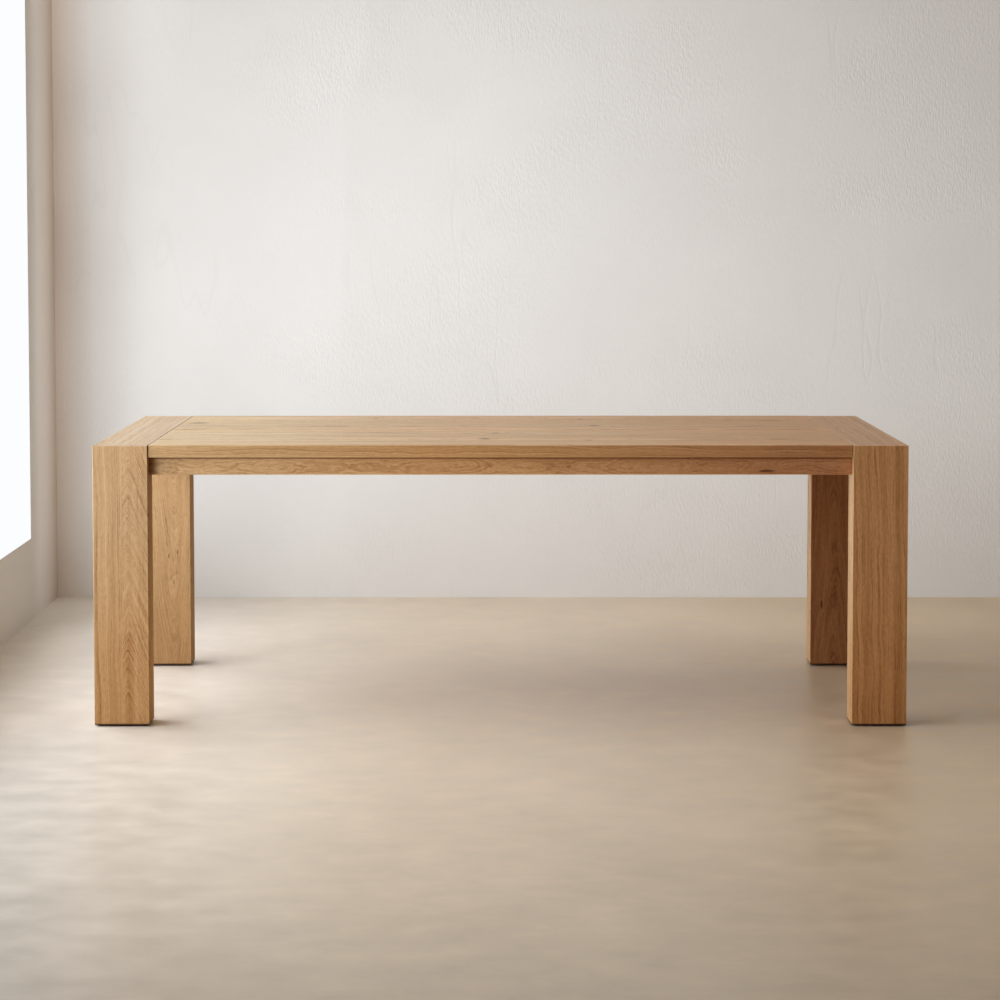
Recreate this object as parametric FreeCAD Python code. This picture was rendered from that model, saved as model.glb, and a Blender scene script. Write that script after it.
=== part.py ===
import FreeCAD, Part
import math
import os

# Parsons dining table in solid oak, on four screw-in levelling feet.
#
# Frame: origin on the floor at the middle of the table, +X along its length to the
# right of someone who stands at the front, +Y from front to back, +Z up.
# All lengths are in millimetres.
#
# Two end frames, each of two legs, an end board and two end rails, are bolted to a
# middle section of two aprons and a glued-up panel. Every corner is built once, at the
# front left, and mirrored to the other three.

# ---- driving dimensions: whole table -------------------------------------------------
LENGTH = 2200.0             # over the outer faces of the legs, along X
DEPTH = 1000.0              # over the outer faces of the legs, along Y
HEIGHT = 765.0              # floor to the top of the panel
ARRIS = 1.2                 # rounding of the free edges of legs and end boards
FOOT_CHAMFER = 1.2          # chamfer round the underside of each leg
FIT = 0.05                  # radial clearance of metal parts that turn or screw together

# ---- legs and end boards ---------------------------------------------------------------
LEG_WIDTH = 148.0           # along X
LEG_THICK = 94.0            # along Y
LEG_GAP = 4.0               # underside of the leg above the floor, feet screwed right in
END_BOARD_THICK = 33.0      # also the leg's face board, which is mitred to it

# ---- panel -------------------------------------------------------------------------------
PANEL_THICK = 33.0
PANEL_PROUD = 1.0           # panel top above the end boards
PANEL_SETBACK = 4.0         # panel edge behind the outer face of the legs
PANEL_GAP = 2.5             # between the panel's ends and the end frames
PANEL_ARRIS = 1.0           # rounding of the panel's long edges
BOARDS = 7                  # glued edge to edge across the depth
BOARD_NAMES = ["top_board_%d" % (number + 1) for number in range(BOARDS)]

# ---- aprons and end rails ----------------------------------------------------------------
APRON_DROP = 49.0           # below the underside of the panel
APRON_THICK = 25.0
APRON_SETBACK = 27.0        # apron face behind the outer face of the legs
APRON_ARRIS = 1.5
RAIL_THICK = 25.0
RAIL_SETBACK = 27.0         # outer end rail behind the outer face of the legs

# ---- loose joinery -------------------------------------------------------------------------
TENON_THICK = 10.0
TENON_WIDTH = 24.0
TENON_BITE = 20.0           # depth in each of the two pieces that it joins
TENON_INSET = 36.0          # leg-top tenon's middle in from the leg's side face
DOWEL_RADIUS = 4.0
DOWEL_BITE = 20.0
DOWEL_SPACING = 24.0        # two dowels, one above the other, in each end of an apron or rail
BISCUIT_LENGTH = 56.0
BISCUIT_WIDTH = 20.0
BISCUIT_THICK = 4.0
BISCUITS_PER_SEAM = 6

# ---- corner blocks, cleats and battens -----------------------------------------------------
BLOCK_LENGTH = 80.0
BLOCK_MARGIN = 2.0          # block short of the apron's edges and the leg's back face
CLEAT_WIDTH = 32.0
CLEAT_HEIGHT = 30.0
CLEAT_END_GAP = 2.0         # between a cleat and the corner blocks
BATTEN_WIDTH = 70.0
BATTEN_HEIGHT = 30.0
BATTEN_END_GAP = 2.0        # between a batten and the aprons
BATTEN_NAMES = ["left_batten", "middle_batten", "right_batten"]

# ---- bolts, screws and clips ---------------------------------------------------------------
BOLT_RADIUS = 4.0           # M8
BOLT_HEAD_RADIUS = 6.5
BOLT_HEAD_HEIGHT = 8.0
BOLT_HOLE_CLEARANCE = 0.5
WASHER_RADIUS = 10.0
WASHER_THICK = 1.6
INSERT_RADIUS = 6.0         # outside of the threaded inserts
INSERT_LENGTH = 20.0
SOCKET_WIDTH = 6.0          # hexagon socket, across flats
SOCKET_DEPTH = 4.0

SCREW_RADIUS = 2.5
SCREW_HEAD_RADIUS = 5.0
SCREW_HEAD_HEIGHT = 3.0
SCREW_POINT = 4.0           # length of the tapered tip
FRAME_SCREW_LENGTH = 46.0   # under the head
FRAME_SCREW_BITE = 18.0     # depth in the second piece
PANEL_SCREW_LENGTH = 25.0
PANEL_SCREW_SEAT = 10.0     # wood left under the head, in cleats and battens
COUNTERBORE_CLEARANCE = 0.5
BLOCK_SCREW_START = 35.0    # first block screw from the leg
BLOCK_SCREW_PITCH = 27.0
BLOCK_SCREW_OFFSET = 13.5   # block screws above and below the bolt
CLEAT_SCREWS = 5
CLEAT_PANEL_SCREWS = 4
BATTEN_SCREWS = 4

CLIP_THICK = 2.0
CLIP_WIDTH = 20.0
CLIP_TONGUE = 7.0           # in the slot of the apron
CLIP_REACH = 4.0            # from the apron to the upright part
CLIP_FOOT = 24.0            # under the panel
CLIP_DROP = 12.0            # from the panel down to the tongue
CLIP_SLOT_CLEARANCE = 1.0

# ---- levelling feet ------------------------------------------------------------------------
PAD_RADIUS = 20.0
PAD_THICK = 1.6
PAD_ARRIS = 0.6
PAD_PIN_RADIUS = 5.0
PAD_PIN_HEIGHT = 1.2
NUT_WIDTH = 27.0            # hexagon of the foot screw, across flats
NUT_CLEARANCE = 0.3         # below the leg, feet screwed right in
STEM_LENGTH = 32.0          # from the hexagon up
STEM_CHAMFER = 1.0
STEM_SPACE = 6.0            # empty hole left above the stem

# ---- levels and faces that follow ----------------------------------------------------------
X_LEG = -LENGTH / 2                         # outer side face of the left legs
X_INNER = X_LEG + LEG_WIDTH                 # their inner side face
Y_LEG = -DEPTH / 2                          # outer face of the front legs
Y_LEG_BACK = Y_LEG + LEG_THICK
Y_CORE = Y_LEG + END_BOARD_THICK            # glue line behind the face board
Y_CORE_BACK = (Y_CORE + Y_LEG_BACK) / 2     # glue line between the core and back boards
Z_FRAME = HEIGHT - PANEL_PROUD              # top of the end boards
Z_LEG_TOP = Z_FRAME - END_BOARD_THICK       # flat part of the leg's top
Z_PANEL = HEIGHT - PANEL_THICK              # underside of the panel
Z_APRON = Z_PANEL - APRON_DROP
X_PANEL = X_INNER + PANEL_GAP
Y_PANEL = Y_LEG + PANEL_SETBACK
Y_APRON = Y_LEG + APRON_SETBACK
Y_APRON_BACK = Y_APRON + APRON_THICK
Y_BLOCK_BACK = Y_LEG_BACK - BLOCK_MARGIN
Z_BOLT = Z_APRON + APRON_DROP / 2
Y_BOLT = (Y_CORE_BACK + Y_LEG_BACK) / 2
Z_RAIL = (Z_APRON + Z_LEG_TOP) / 2          # middle height of the end rails
X_FOOT = X_LEG + LEG_WIDTH / 2
Y_FOOT = Y_LEG + LEG_THICK / 2
BOARD_WIDTH = -2 * Y_PANEL / BOARDS

LEFT = FreeCAD.Vector(-1, 0, 0)
RIGHT = FreeCAD.Vector(1, 0, 0)
FRONT = FreeCAD.Vector(0, -1, 0)
BACK = FreeCAD.Vector(0, 1, 0)
UP = FreeCAD.Vector(0, 0, 1)
ORIGIN = FreeCAD.Vector(0, 0, 0)

CORNERS = {"front_left": (-1, -1), "front_right": (1, -1), "back_left": (-1, 1), "back_right": (1, 1)}
ENDS = {"left": -1, "right": 1}
LONG_SIDES = {"front": -1, "back": 1}


# ---- shape helpers ---------------------------------------------------------------------------
def block(x0, x1, y0, y1, z0, z1):
    """Rectangular solid between three pairs of coordinates."""
    return Part.makeBox(x1 - x0, y1 - y0, z1 - z0, FreeCAD.Vector(x0, y0, z0))


def rod(x, y, z, radius, length, direction):
    """Cylinder that starts at a point and runs along a direction."""
    return Part.makeCylinder(radius, length, FreeCAD.Vector(x, y, z), direction)


def prism_x(points, x0, x1):
    """Solid of a closed outline given as (y, z) points, carried from x0 to x1."""
    outline = [FreeCAD.Vector(x0, y, z) for y, z in points]
    face = Part.Face(Part.makePolygon(outline + outline[:1]))
    return face.extrude(FreeCAD.Vector(x1 - x0, 0, 0))


def hexagon(x, y, z, width, height, direction):
    """Hexagonal prism, width across flats, from a point along a direction."""
    corner = width / math.sqrt(3)
    turns = [math.radians(60 * step) for step in range(6)]
    outline = [FreeCAD.Vector(corner * math.cos(turn), corner * math.sin(turn), 0) for turn in turns]
    face = Part.Face(Part.makePolygon(outline + outline[:1]))
    solid = face.extrude(FreeCAD.Vector(0, 0, height))
    solid.Placement = FreeCAD.Placement(FreeCAD.Vector(x, y, z), FreeCAD.Rotation(UP, direction))
    return solid


def near(value, target):
    """Whether two lengths are the same to a thousandth."""
    return abs(value - target) < 0.001


def edges_where(shape, test):
    """Edges whose ends all pass a test of their place."""
    return [edge for edge in shape.Edges if all(test(vertex.Point) for vertex in edge.Vertexes)]


def everywhere(point):
    return True


def edges_along(shape, axis, test=everywhere):
    """Straight edges parallel to an axis whose ends all pass a test."""
    return [
        edge for edge in edges_where(shape, test)
        if near(abs((edge.Vertexes[0].Point - edge.Vertexes[-1].Point).dot(axis)), edge.Length)
    ]


def mirrored(shape, side_x, side_y):
    """Copy of a front-left shape at the side of each axis given as -1 or 1."""
    result = shape.copy()
    if side_x > 0:
        result = result.mirror(ORIGIN, RIGHT)
    if side_y > 0:
        result = result.mirror(ORIGIN, BACK)
    return result


def at_all_corners(shapes):
    """The shapes of the front-left corner and their three mirror images."""
    return [mirrored(shape, *sides) for sides in CORNERS.values() for shape in shapes]


def evenly(low, high, count):
    """Middles of equal stretches between two limits."""
    step = (high - low) / count
    return [low + step * (number + 0.5) for number in range(count)]


def without(shape, cutters):
    """Shape with every cutter taken out."""
    return shape.cut(cutters) if cutters else shape


# ---- fasteners -------------------------------------------------------------------------------
def screw(x, y, z, length, direction):
    """Pan-head wood screw; the point given is on its seat, under the head."""
    straight = rod(x, y, z, SCREW_RADIUS, length - SCREW_POINT, direction)
    tip_start = FreeCAD.Vector(x, y, z) + direction * (length - SCREW_POINT)
    tip = Part.makeCone(SCREW_RADIUS, SCREW_RADIUS / 4, SCREW_POINT, tip_start, direction)
    head = rod(x, y, z, SCREW_HEAD_RADIUS, SCREW_HEAD_HEIGHT, direction * -1)
    rim = [edge for edge in head.Edges if near(edge.CenterOfMass.distanceToPoint(
        FreeCAD.Vector(x, y, z) - direction * SCREW_HEAD_HEIGHT), 0)]
    head = head.makeFillet(SCREW_HEAD_HEIGHT / 2, rim)
    top = FreeCAD.Vector(x, y, z) - direction * SCREW_HEAD_HEIGHT
    recess = hexagon(top.x, top.y, top.z, SCREW_RADIUS * 1.4, SCREW_HEAD_HEIGHT / 2, direction)
    return straight.fuse(tip).fuse(head.cut(recess)).removeSplitter()


def screw_hole(x, y, z, length, direction):
    """Hole that a screw fills."""
    return rod(x, y, z, SCREW_RADIUS, length, direction)


def counterbore(x, y, z, depth, direction):
    """Open well above a screw's seat, out to the surface of the piece."""
    return rod(x, y, z, SCREW_HEAD_RADIUS + COUNTERBORE_CLEARANCE, depth, direction * -1)


def tenon(middle, long_axis, wide_axis):
    """Loose tenon with rounded edges, its middle on the joint between two pieces."""
    flat = TENON_WIDTH - TENON_THICK
    length = 2 * TENON_BITE
    start = middle - long_axis * TENON_BITE
    bars = [
        Part.makeCylinder(TENON_THICK / 2, length, start + wide_axis * offset, long_axis)
        for offset in (-flat / 2, flat / 2)
    ]
    core = Part.makeBox(flat, TENON_THICK, length, FreeCAD.Vector(-flat / 2, -TENON_THICK / 2, 0))
    thick_axis = long_axis.cross(wide_axis)
    turn = FreeCAD.Matrix(
        wide_axis.x, thick_axis.x, long_axis.x, start.x,
        wide_axis.y, thick_axis.y, long_axis.y, start.y,
        wide_axis.z, thick_axis.z, long_axis.z, start.z,
        0, 0, 0, 1,
    )
    core.transformShape(turn, True)
    return core.fuse(bars).removeSplitter()


def biscuit(x, y, z):
    """Flat lens of two arcs, its length along X, half in each of two boards."""
    ends = [FreeCAD.Vector(x - BISCUIT_LENGTH / 2, y, z), FreeCAD.Vector(x + BISCUIT_LENGTH / 2, y, z)]
    arcs = [
        Part.Arc(ends[0], FreeCAD.Vector(x, y + side * BISCUIT_WIDTH / 2, z), ends[1]).toShape()
        for side in (-1, 1)
    ]
    lens = Part.Face(Part.Wire(arcs)).extrude(FreeCAD.Vector(0, 0, BISCUIT_THICK))
    lens.translate(FreeCAD.Vector(0, 0, -BISCUIT_THICK / 2))
    return lens


# ---- joinery of the front-left corner and the left end ------------------------------------------
def leg_top_tenons():
    """Two upright tenons between the leg's core board and the end board."""
    y = (Y_CORE + Y_CORE_BACK) / 2
    return [
        tenon(FreeCAD.Vector(x, y, Z_LEG_TOP), UP, RIGHT)
        for x in (X_LEG + TENON_INSET, X_INNER - TENON_INSET)
    ]


def rail_middles():
    """Middle lines, along Y, of the outer and inner left end rails."""
    return {"outer": X_LEG + RAIL_SETBACK + RAIL_THICK / 2, "inner": X_INNER - RAIL_THICK / 2}


def dowel_pair(start, direction):
    """Two dowels, one above the other, half in each side of a joint."""
    offsets = (-DOWEL_SPACING / 2, DOWEL_SPACING / 2)
    starts = [start - direction * DOWEL_BITE + UP * offset for offset in offsets]
    return [Part.makeCylinder(DOWEL_RADIUS, 2 * DOWEL_BITE, place, direction) for place in starts]


def rail_dowels():
    """Dowels between the leg's back face and the two end rails."""
    return [
        dowel for x in rail_middles().values()
        for dowel in dowel_pair(FreeCAD.Vector(x, Y_LEG_BACK, Z_RAIL), BACK)
    ]


def apron_dowels():
    """Dowels between the leg's inner side face and the apron."""
    return dowel_pair(FreeCAD.Vector(X_INNER, (Y_APRON + Y_APRON_BACK) / 2, Z_BOLT), RIGHT)


def corner_insert():
    """Threaded insert in the leg, for the corner bolt."""
    sleeve = rod(X_INNER, Y_BOLT, Z_BOLT, INSERT_RADIUS, INSERT_LENGTH, LEFT)
    return sleeve.cut(rod(X_INNER, Y_BOLT, Z_BOLT, BOLT_RADIUS + FIT, INSERT_LENGTH, LEFT))


def corner_washer():
    """Washer between the bolt's head and the corner block."""
    x = X_INNER + BLOCK_LENGTH
    disc = rod(x, Y_BOLT, Z_BOLT, WASHER_RADIUS, WASHER_THICK, RIGHT)
    return disc.cut(rod(x, Y_BOLT, Z_BOLT, BOLT_RADIUS + FIT, WASHER_THICK, RIGHT))


def corner_bolt():
    """Socket-head bolt through the corner block into the insert."""
    x = X_INNER + BLOCK_LENGTH + WASHER_THICK
    shank = rod(x, Y_BOLT, Z_BOLT, BOLT_RADIUS, x - X_INNER + INSERT_LENGTH, LEFT)
    head = rod(x, Y_BOLT, Z_BOLT, BOLT_HEAD_RADIUS, BOLT_HEAD_HEIGHT, RIGHT)
    socket = hexagon(x + BOLT_HEAD_HEIGHT, Y_BOLT, Z_BOLT, SOCKET_WIDTH, SOCKET_DEPTH, LEFT)
    return shank.fuse(head).cut(socket).removeSplitter()


def block_screw_places():
    """Seats of the two screws that hold a corner block to the apron: x, z."""
    return [
        (X_INNER + BLOCK_SCREW_START, Z_BOLT - BLOCK_SCREW_OFFSET),
        (X_INNER + BLOCK_SCREW_START + BLOCK_SCREW_PITCH, Z_BOLT + BLOCK_SCREW_OFFSET),
    ]


def block_screw_seat():
    """Level, along Y, of the block screws' seats."""
    return Y_APRON_BACK + FRAME_SCREW_LENGTH - FRAME_SCREW_BITE


def block_screws():
    return [screw(x, block_screw_seat(), z, FRAME_SCREW_LENGTH, FRONT) for x, z in block_screw_places()]


def cleat_limits():
    """Lowest and highest Y of a cleat."""
    end = Y_BLOCK_BACK + CLEAT_END_GAP
    return end, -end


def cleat_screw_places():
    """Y of the level screws from a cleat into its end rail."""
    return evenly(*cleat_limits(), CLEAT_SCREWS)


def cleat_screw_seat():
    """Level, along X, of those screws' seats on the left cleat."""
    return X_INNER + FRAME_SCREW_LENGTH - FRAME_SCREW_BITE


def cleat_screws():
    z = Z_PANEL - CLEAT_HEIGHT / 2
    return [screw(cleat_screw_seat(), y, z, FRAME_SCREW_LENGTH, LEFT) for y in cleat_screw_places()]


# ---- upright screws, and the clips, that hold the panel -----------------------------------------
def cleat_panel_places():
    """X and Y of the upright screws of the left cleat."""
    x = X_INNER + CLEAT_WIDTH / 2
    return [(x, y) for y in evenly(*cleat_limits(), CLEAT_PANEL_SCREWS)]


def batten_middles():
    """X of the battens, spread evenly under the panel."""
    step = -2 * X_PANEL / len(BATTEN_NAMES)
    return [X_PANEL + step * (number + 0.5) for number in range(len(BATTEN_NAMES))]


def board_middle(number):
    """Y of the middle of a board, counted from the front."""
    return Y_PANEL + BOARD_WIDTH * (number + 0.5)


def batten_screw_places():
    """Y of the screws in a batten, each under the middle of a board."""
    step = (BOARDS - 1) / (BATTEN_SCREWS - 1)
    return [board_middle(round(step * number)) for number in range(BATTEN_SCREWS)]


def clip_places():
    """X of the clips along an apron, between the corner blocks and clear of the battens."""
    battens = batten_middles()
    outer = (X_INNER + BLOCK_LENGTH + battens[0] - BATTEN_WIDTH / 2) / 2
    inner = (battens[0] + battens[1]) / 2
    places = [outer, inner]
    return places + [-x for x in reversed(places)]


def clip_screw_y():
    """Y of the clip screws behind the front apron."""
    return Y_APRON_BACK + CLIP_REACH + CLIP_THICK + (CLIP_FOOT - CLIP_THICK) / 2


def clip(x):
    """Bent steel clip: tongue in the apron, upright part, foot under the panel."""
    y = Y_APRON_BACK + CLIP_REACH
    z = Z_PANEL - CLIP_DROP
    points = [
        (Y_APRON_BACK - CLIP_TONGUE, z),
        (y + CLIP_THICK, z),
        (y + CLIP_THICK, Z_PANEL - CLIP_THICK),
        (y + CLIP_FOOT, Z_PANEL - CLIP_THICK),
        (y + CLIP_FOOT, Z_PANEL),
        (y, Z_PANEL),
        (y, z + CLIP_THICK),
        (Y_APRON_BACK - CLIP_TONGUE, z + CLIP_THICK),
    ]
    plate = prism_x(points, x - CLIP_WIDTH / 2, x + CLIP_WIDTH / 2)
    return plate.cut(screw_hole(x, clip_screw_y(), Z_PANEL - CLIP_THICK, CLIP_THICK, UP))


def clip_slot(x):
    """Slot in the apron for a clip's tongue, which bears on its upper side."""
    half = CLIP_WIDTH / 2 + CLIP_SLOT_CLEARANCE
    z = Z_PANEL - CLIP_DROP
    return block(
        x - half, x + half,
        Y_APRON_BACK - CLIP_TONGUE - CLIP_SLOT_CLEARANCE, Y_APRON_BACK,
        z - CLIP_SLOT_CLEARANCE, z + CLIP_THICK,
    )


def panel_screw_seats():
    """Seats of every upright screw: x, y, z under the head."""
    seats = []
    for side in ENDS.values():
        seats += [(-side * x, y, Z_PANEL - PANEL_SCREW_SEAT) for x, y in cleat_panel_places()]
    for x in batten_middles():
        seats += [(x, y, Z_PANEL - PANEL_SCREW_SEAT) for y in batten_screw_places()]
    for side in LONG_SIDES.values():
        seats += [(x, -side * clip_screw_y(), Z_PANEL - CLIP_THICK) for x in clip_places()]
    return seats


def seam_places():
    """Y of the glued seams between neighbouring boards."""
    return [Y_PANEL + BOARD_WIDTH * (number + 1) for number in range(BOARDS - 1)]


def biscuit_places():
    """X of the biscuits along each seam."""
    return evenly(X_PANEL, -X_PANEL, BISCUITS_PER_SEAM)


def seam_biscuits(y):
    return [biscuit(x, y, Z_PANEL + PANEL_THICK / 2) for x in biscuit_places()]


# ---- end frames --------------------------------------------------------------------------------
def mitre_wedge(above):
    """Space over the leg's mitred top, or the space under the end board's mitred end."""
    reach = 2 * END_BOARD_THICK
    inner = (Y_CORE, Z_LEG_TOP)
    outer = (inner[0] - reach, inner[1] + reach)
    if above:
        points = [inner, outer, (Y_LEG_BACK + reach, outer[1]), (Y_LEG_BACK + reach, Z_LEG_TOP)]
    else:
        points = [inner, outer, (outer[0], Z_LEG_TOP - reach), (inner[0], Z_LEG_TOP - reach)]
    return prism_x(points, X_LEG - reach, X_INNER + reach)


def leg_blank():
    """Front-left leg before it is divided: rounded arrises, mitred top."""
    leg = block(X_LEG, X_INNER, Y_LEG, Y_LEG_BACK, LEG_GAP, Z_FRAME)
    leg = leg.makeChamfer(FOOT_CHAMFER, edges_where(leg, lambda p: near(p.z, LEG_GAP)))
    top_front = edges_where(leg, lambda p: near(p.z, Z_FRAME) and near(p.y, Y_LEG))
    leg = leg.makeFillet(ARRIS, edges_along(leg, UP) + top_front)
    return leg.cut(mitre_wedge(above=True))


def foot_hole():
    """Hole up the middle of the leg for the foot's insert and stem."""
    pocket = rod(X_FOOT, Y_FOOT, LEG_GAP, INSERT_RADIUS, INSERT_LENGTH, UP)
    depth = STEM_LENGTH - NUT_CLEARANCE + STEM_SPACE
    return pocket.fuse(rod(X_FOOT, Y_FOOT, LEG_GAP, BOLT_RADIUS + 2 * FIT, depth, UP))


def end_board_blank():
    """Left end board before it is divided: rounded arrises, both ends mitred."""
    board = block(X_LEG, X_INNER, Y_LEG, -Y_LEG, Z_LEG_TOP, Z_FRAME)
    top = edges_where(board, lambda p: near(p.z, Z_FRAME))
    board = board.makeFillet(ARRIS, top + edges_along(board, UP))
    wedge = mitre_wedge(above=False)
    return board.cut(wedge).cut(mirrored(wedge, -1, 1))


def legs():
    """Four legs of three boards each: a mitred face board, a core board and a back board."""
    joints = leg_top_tenons() + rail_dowels() + apron_dowels()
    joints += [foot_hole(), rod(X_INNER, Y_BOLT, Z_BOLT, INSERT_RADIUS, INSERT_LENGTH, LEFT)]
    leg = without(leg_blank(), joints)
    layers = {
        "face": (Y_LEG, Y_CORE),
        "core": (Y_CORE, Y_CORE_BACK),
        "back": (Y_CORE_BACK, Y_LEG_BACK),
    }
    pieces = {}
    for place, (low, high) in layers.items():
        board = leg.common(block(X_LEG, X_INNER, low, high, 0, HEIGHT))
        for corner, sides in CORNERS.items():
            pieces["%s_leg_%s_board" % (corner, place)] = mirrored(board, *sides)
    return pieces


def end_boards():
    """Two end boards, their grain from front to back."""
    tenons = leg_top_tenons()
    board = without(end_board_blank(), tenons + [mirrored(peg, -1, 1) for peg in tenons])
    return {"%s_end_board" % end: mirrored(board, side, -1) for end, side in ENDS.items()}


def end_rails():
    """An outer and an inner rail under each end board, between the legs."""
    dowels = rail_dowels()
    joints = dowels + [mirrored(dowel, -1, 1) for dowel in dowels]
    z = Z_PANEL - CLEAT_HEIGHT / 2
    joints += [screw_hole(X_INNER, y, z, FRAME_SCREW_BITE, LEFT) for y in cleat_screw_places()]
    rails = {}
    for place, x in rail_middles().items():
        rail = block(x - RAIL_THICK / 2, x + RAIL_THICK / 2, Y_LEG_BACK, -Y_LEG_BACK, Z_APRON, Z_LEG_TOP)
        lower = edges_along(rail, BACK, lambda p: near(p.z, Z_APRON))
        rail = without(rail.makeFillet(APRON_ARRIS, lower), joints)
        for end, side in ENDS.items():
            rails["%s_%s_end_rail" % (end, place)] = mirrored(rail, side, -1)
    return rails


# ---- middle section ----------------------------------------------------------------------------
def panel_boards():
    """Boards of the panel, numbered from the front, with their pockets and pilot holes."""
    panel = block(X_PANEL, -X_PANEL, Y_PANEL, -Y_PANEL, Z_PANEL, HEIGHT)
    panel = panel.makeFillet(PANEL_ARRIS, edges_along(panel, RIGHT))
    pilots = []
    for x, y, z in panel_screw_seats():
        pilots.append(screw_hole(x, y, Z_PANEL, PANEL_SCREW_LENGTH - (Z_PANEL - z), UP))
    boards = {}
    for number, name in enumerate(BOARD_NAMES):
        low = Y_PANEL + BOARD_WIDTH * number
        high = low + BOARD_WIDTH
        board = panel.common(block(X_PANEL, -X_PANEL, low, high, Z_PANEL, HEIGHT))
        seams = [y for y in seam_places() if near(y, low) or near(y, high)]
        pockets = [lens for y in seams for lens in seam_biscuits(y)]
        pockets += [hole for hole in pilots if low < hole.BoundBox.Center.y < high]
        boards[name] = without(board, pockets)
    return boards


def aprons():
    """Front and back aprons, dowelled to the legs and slotted for the clips."""
    apron = block(X_INNER, -X_INNER, Y_APRON, Y_APRON_BACK, Z_APRON, Z_PANEL)
    lower = edges_along(apron, RIGHT, lambda p: near(p.z, Z_APRON))
    apron = apron.makeFillet(APRON_ARRIS, lower)
    left = apron_dowels()
    left += [screw_hole(x, Y_APRON_BACK, z, FRAME_SCREW_BITE, FRONT) for x, z in block_screw_places()]
    cutters = left + [mirrored(hole, 1, -1) for hole in left] + [clip_slot(x) for x in clip_places()]
    apron = without(apron, cutters)
    return {"%s_apron" % name: mirrored(apron, -1, side) for name, side in LONG_SIDES.items()}


def corner_blocks():
    """Blocks behind the apron ends, which the corner bolts pull against the legs."""
    low = Z_APRON + BLOCK_MARGIN
    high = Z_PANEL - BLOCK_MARGIN
    body = block(X_INNER, X_INNER + BLOCK_LENGTH, Y_APRON_BACK, Y_BLOCK_BACK, low, high)
    cutters = [rod(X_INNER, Y_BOLT, Z_BOLT, BOLT_RADIUS + BOLT_HOLE_CLEARANCE, BLOCK_LENGTH, RIGHT)]
    seat = block_screw_seat()
    for x, z in block_screw_places():
        cutters.append(screw_hole(x, seat, z, seat - Y_APRON_BACK, FRONT))
        cutters.append(counterbore(x, seat, z, Y_BLOCK_BACK - seat, FRONT))
    body = without(body, cutters)
    return {"%s_corner_block" % corner: mirrored(body, *sides) for corner, sides in CORNERS.items()}


def cleats():
    """Cleats on the inner end rails, which carry the ends of the panel."""
    low, high = cleat_limits()
    bottom = Z_PANEL - CLEAT_HEIGHT
    body = block(X_INNER, X_INNER + CLEAT_WIDTH, low, high, bottom, Z_PANEL)
    cutters = []
    seat = cleat_screw_seat()
    for y in cleat_screw_places():
        z = Z_PANEL - CLEAT_HEIGHT / 2
        cutters.append(screw_hole(seat, y, z, seat - X_INNER, LEFT))
        cutters.append(counterbore(seat, y, z, X_INNER + CLEAT_WIDTH - seat, LEFT))
    for x, y in cleat_panel_places():
        cutters.append(screw_hole(x, y, Z_PANEL - PANEL_SCREW_SEAT, PANEL_SCREW_SEAT, UP))
        cutters.append(counterbore(x, y, Z_PANEL - PANEL_SCREW_SEAT, CLEAT_HEIGHT - PANEL_SCREW_SEAT, UP))
    body = without(body, cutters)
    return {"%s_cleat" % end: mirrored(body, side, -1) for end, side in ENDS.items()}


def battens():
    """Cross battens that keep the panel flat, held by screws only."""
    low = Y_APRON_BACK + BATTEN_END_GAP
    bottom = Z_PANEL - BATTEN_HEIGHT
    pieces = {}
    for name, x in zip(BATTEN_NAMES, batten_middles()):
        body = block(x - BATTEN_WIDTH / 2, x + BATTEN_WIDTH / 2, low, -low, bottom, Z_PANEL)
        lower = edges_where(body, lambda p: near(p.z, bottom))
        body = body.makeFillet(APRON_ARRIS, lower)
        cutters = []
        for y in batten_screw_places():
            cutters.append(screw_hole(x, y, Z_PANEL - PANEL_SCREW_SEAT, PANEL_SCREW_SEAT, UP))
            well = BATTEN_HEIGHT - PANEL_SCREW_SEAT
            cutters.append(counterbore(x, y, Z_PANEL - PANEL_SCREW_SEAT, well, UP))
        pieces[name] = without(body, cutters)
    return pieces


# ---- levelling feet ------------------------------------------------------------------------------
def foot_insert():
    """Threaded insert in the underside of the leg."""
    sleeve = rod(X_FOOT, Y_FOOT, LEG_GAP, INSERT_RADIUS, INSERT_LENGTH, UP)
    return sleeve.cut(rod(X_FOOT, Y_FOOT, LEG_GAP, BOLT_RADIUS + FIT, INSERT_LENGTH, UP))


def foot_pad():
    """Round glide that stands still on the floor, with a pin for the screw to turn on."""
    disc = rod(X_FOOT, Y_FOOT, 0, PAD_RADIUS, PAD_THICK, UP)
    disc = disc.makeFillet(PAD_ARRIS, [edge for edge in disc.Edges if edge.Length > 2 * PAD_THICK])
    pin = rod(X_FOOT, Y_FOOT, 0, PAD_PIN_RADIUS, PAD_THICK + PAD_PIN_HEIGHT, UP)
    return disc.fuse(pin).removeSplitter()


def foot_screw():
    """Hexagon and stem in one piece, turned by hand or spanner to set the height."""
    low = PAD_THICK + FIT
    high = LEG_GAP - NUT_CLEARANCE
    nut = hexagon(X_FOOT, Y_FOOT, low, NUT_WIDTH, high - low, UP)
    nut = nut.cut(rod(X_FOOT, Y_FOOT, low, PAD_PIN_RADIUS + FIT, PAD_PIN_HEIGHT, UP))
    stem = rod(X_FOOT, Y_FOOT, high, BOLT_RADIUS, STEM_LENGTH, UP)
    stem = stem.makeChamfer(STEM_CHAMFER, edges_where(stem, lambda p: near(p.z, high + STEM_LENGTH)))
    return nut.fuse(stem).removeSplitter()


def feet():
    """A screw and a pad under each leg."""
    pieces = {}
    for corner, sides in CORNERS.items():
        pieces["%s_foot_screw" % corner] = mirrored(foot_screw(), *sides)
        pieces["%s_foot_pad" % corner] = mirrored(foot_pad(), *sides)
    return pieces


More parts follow.
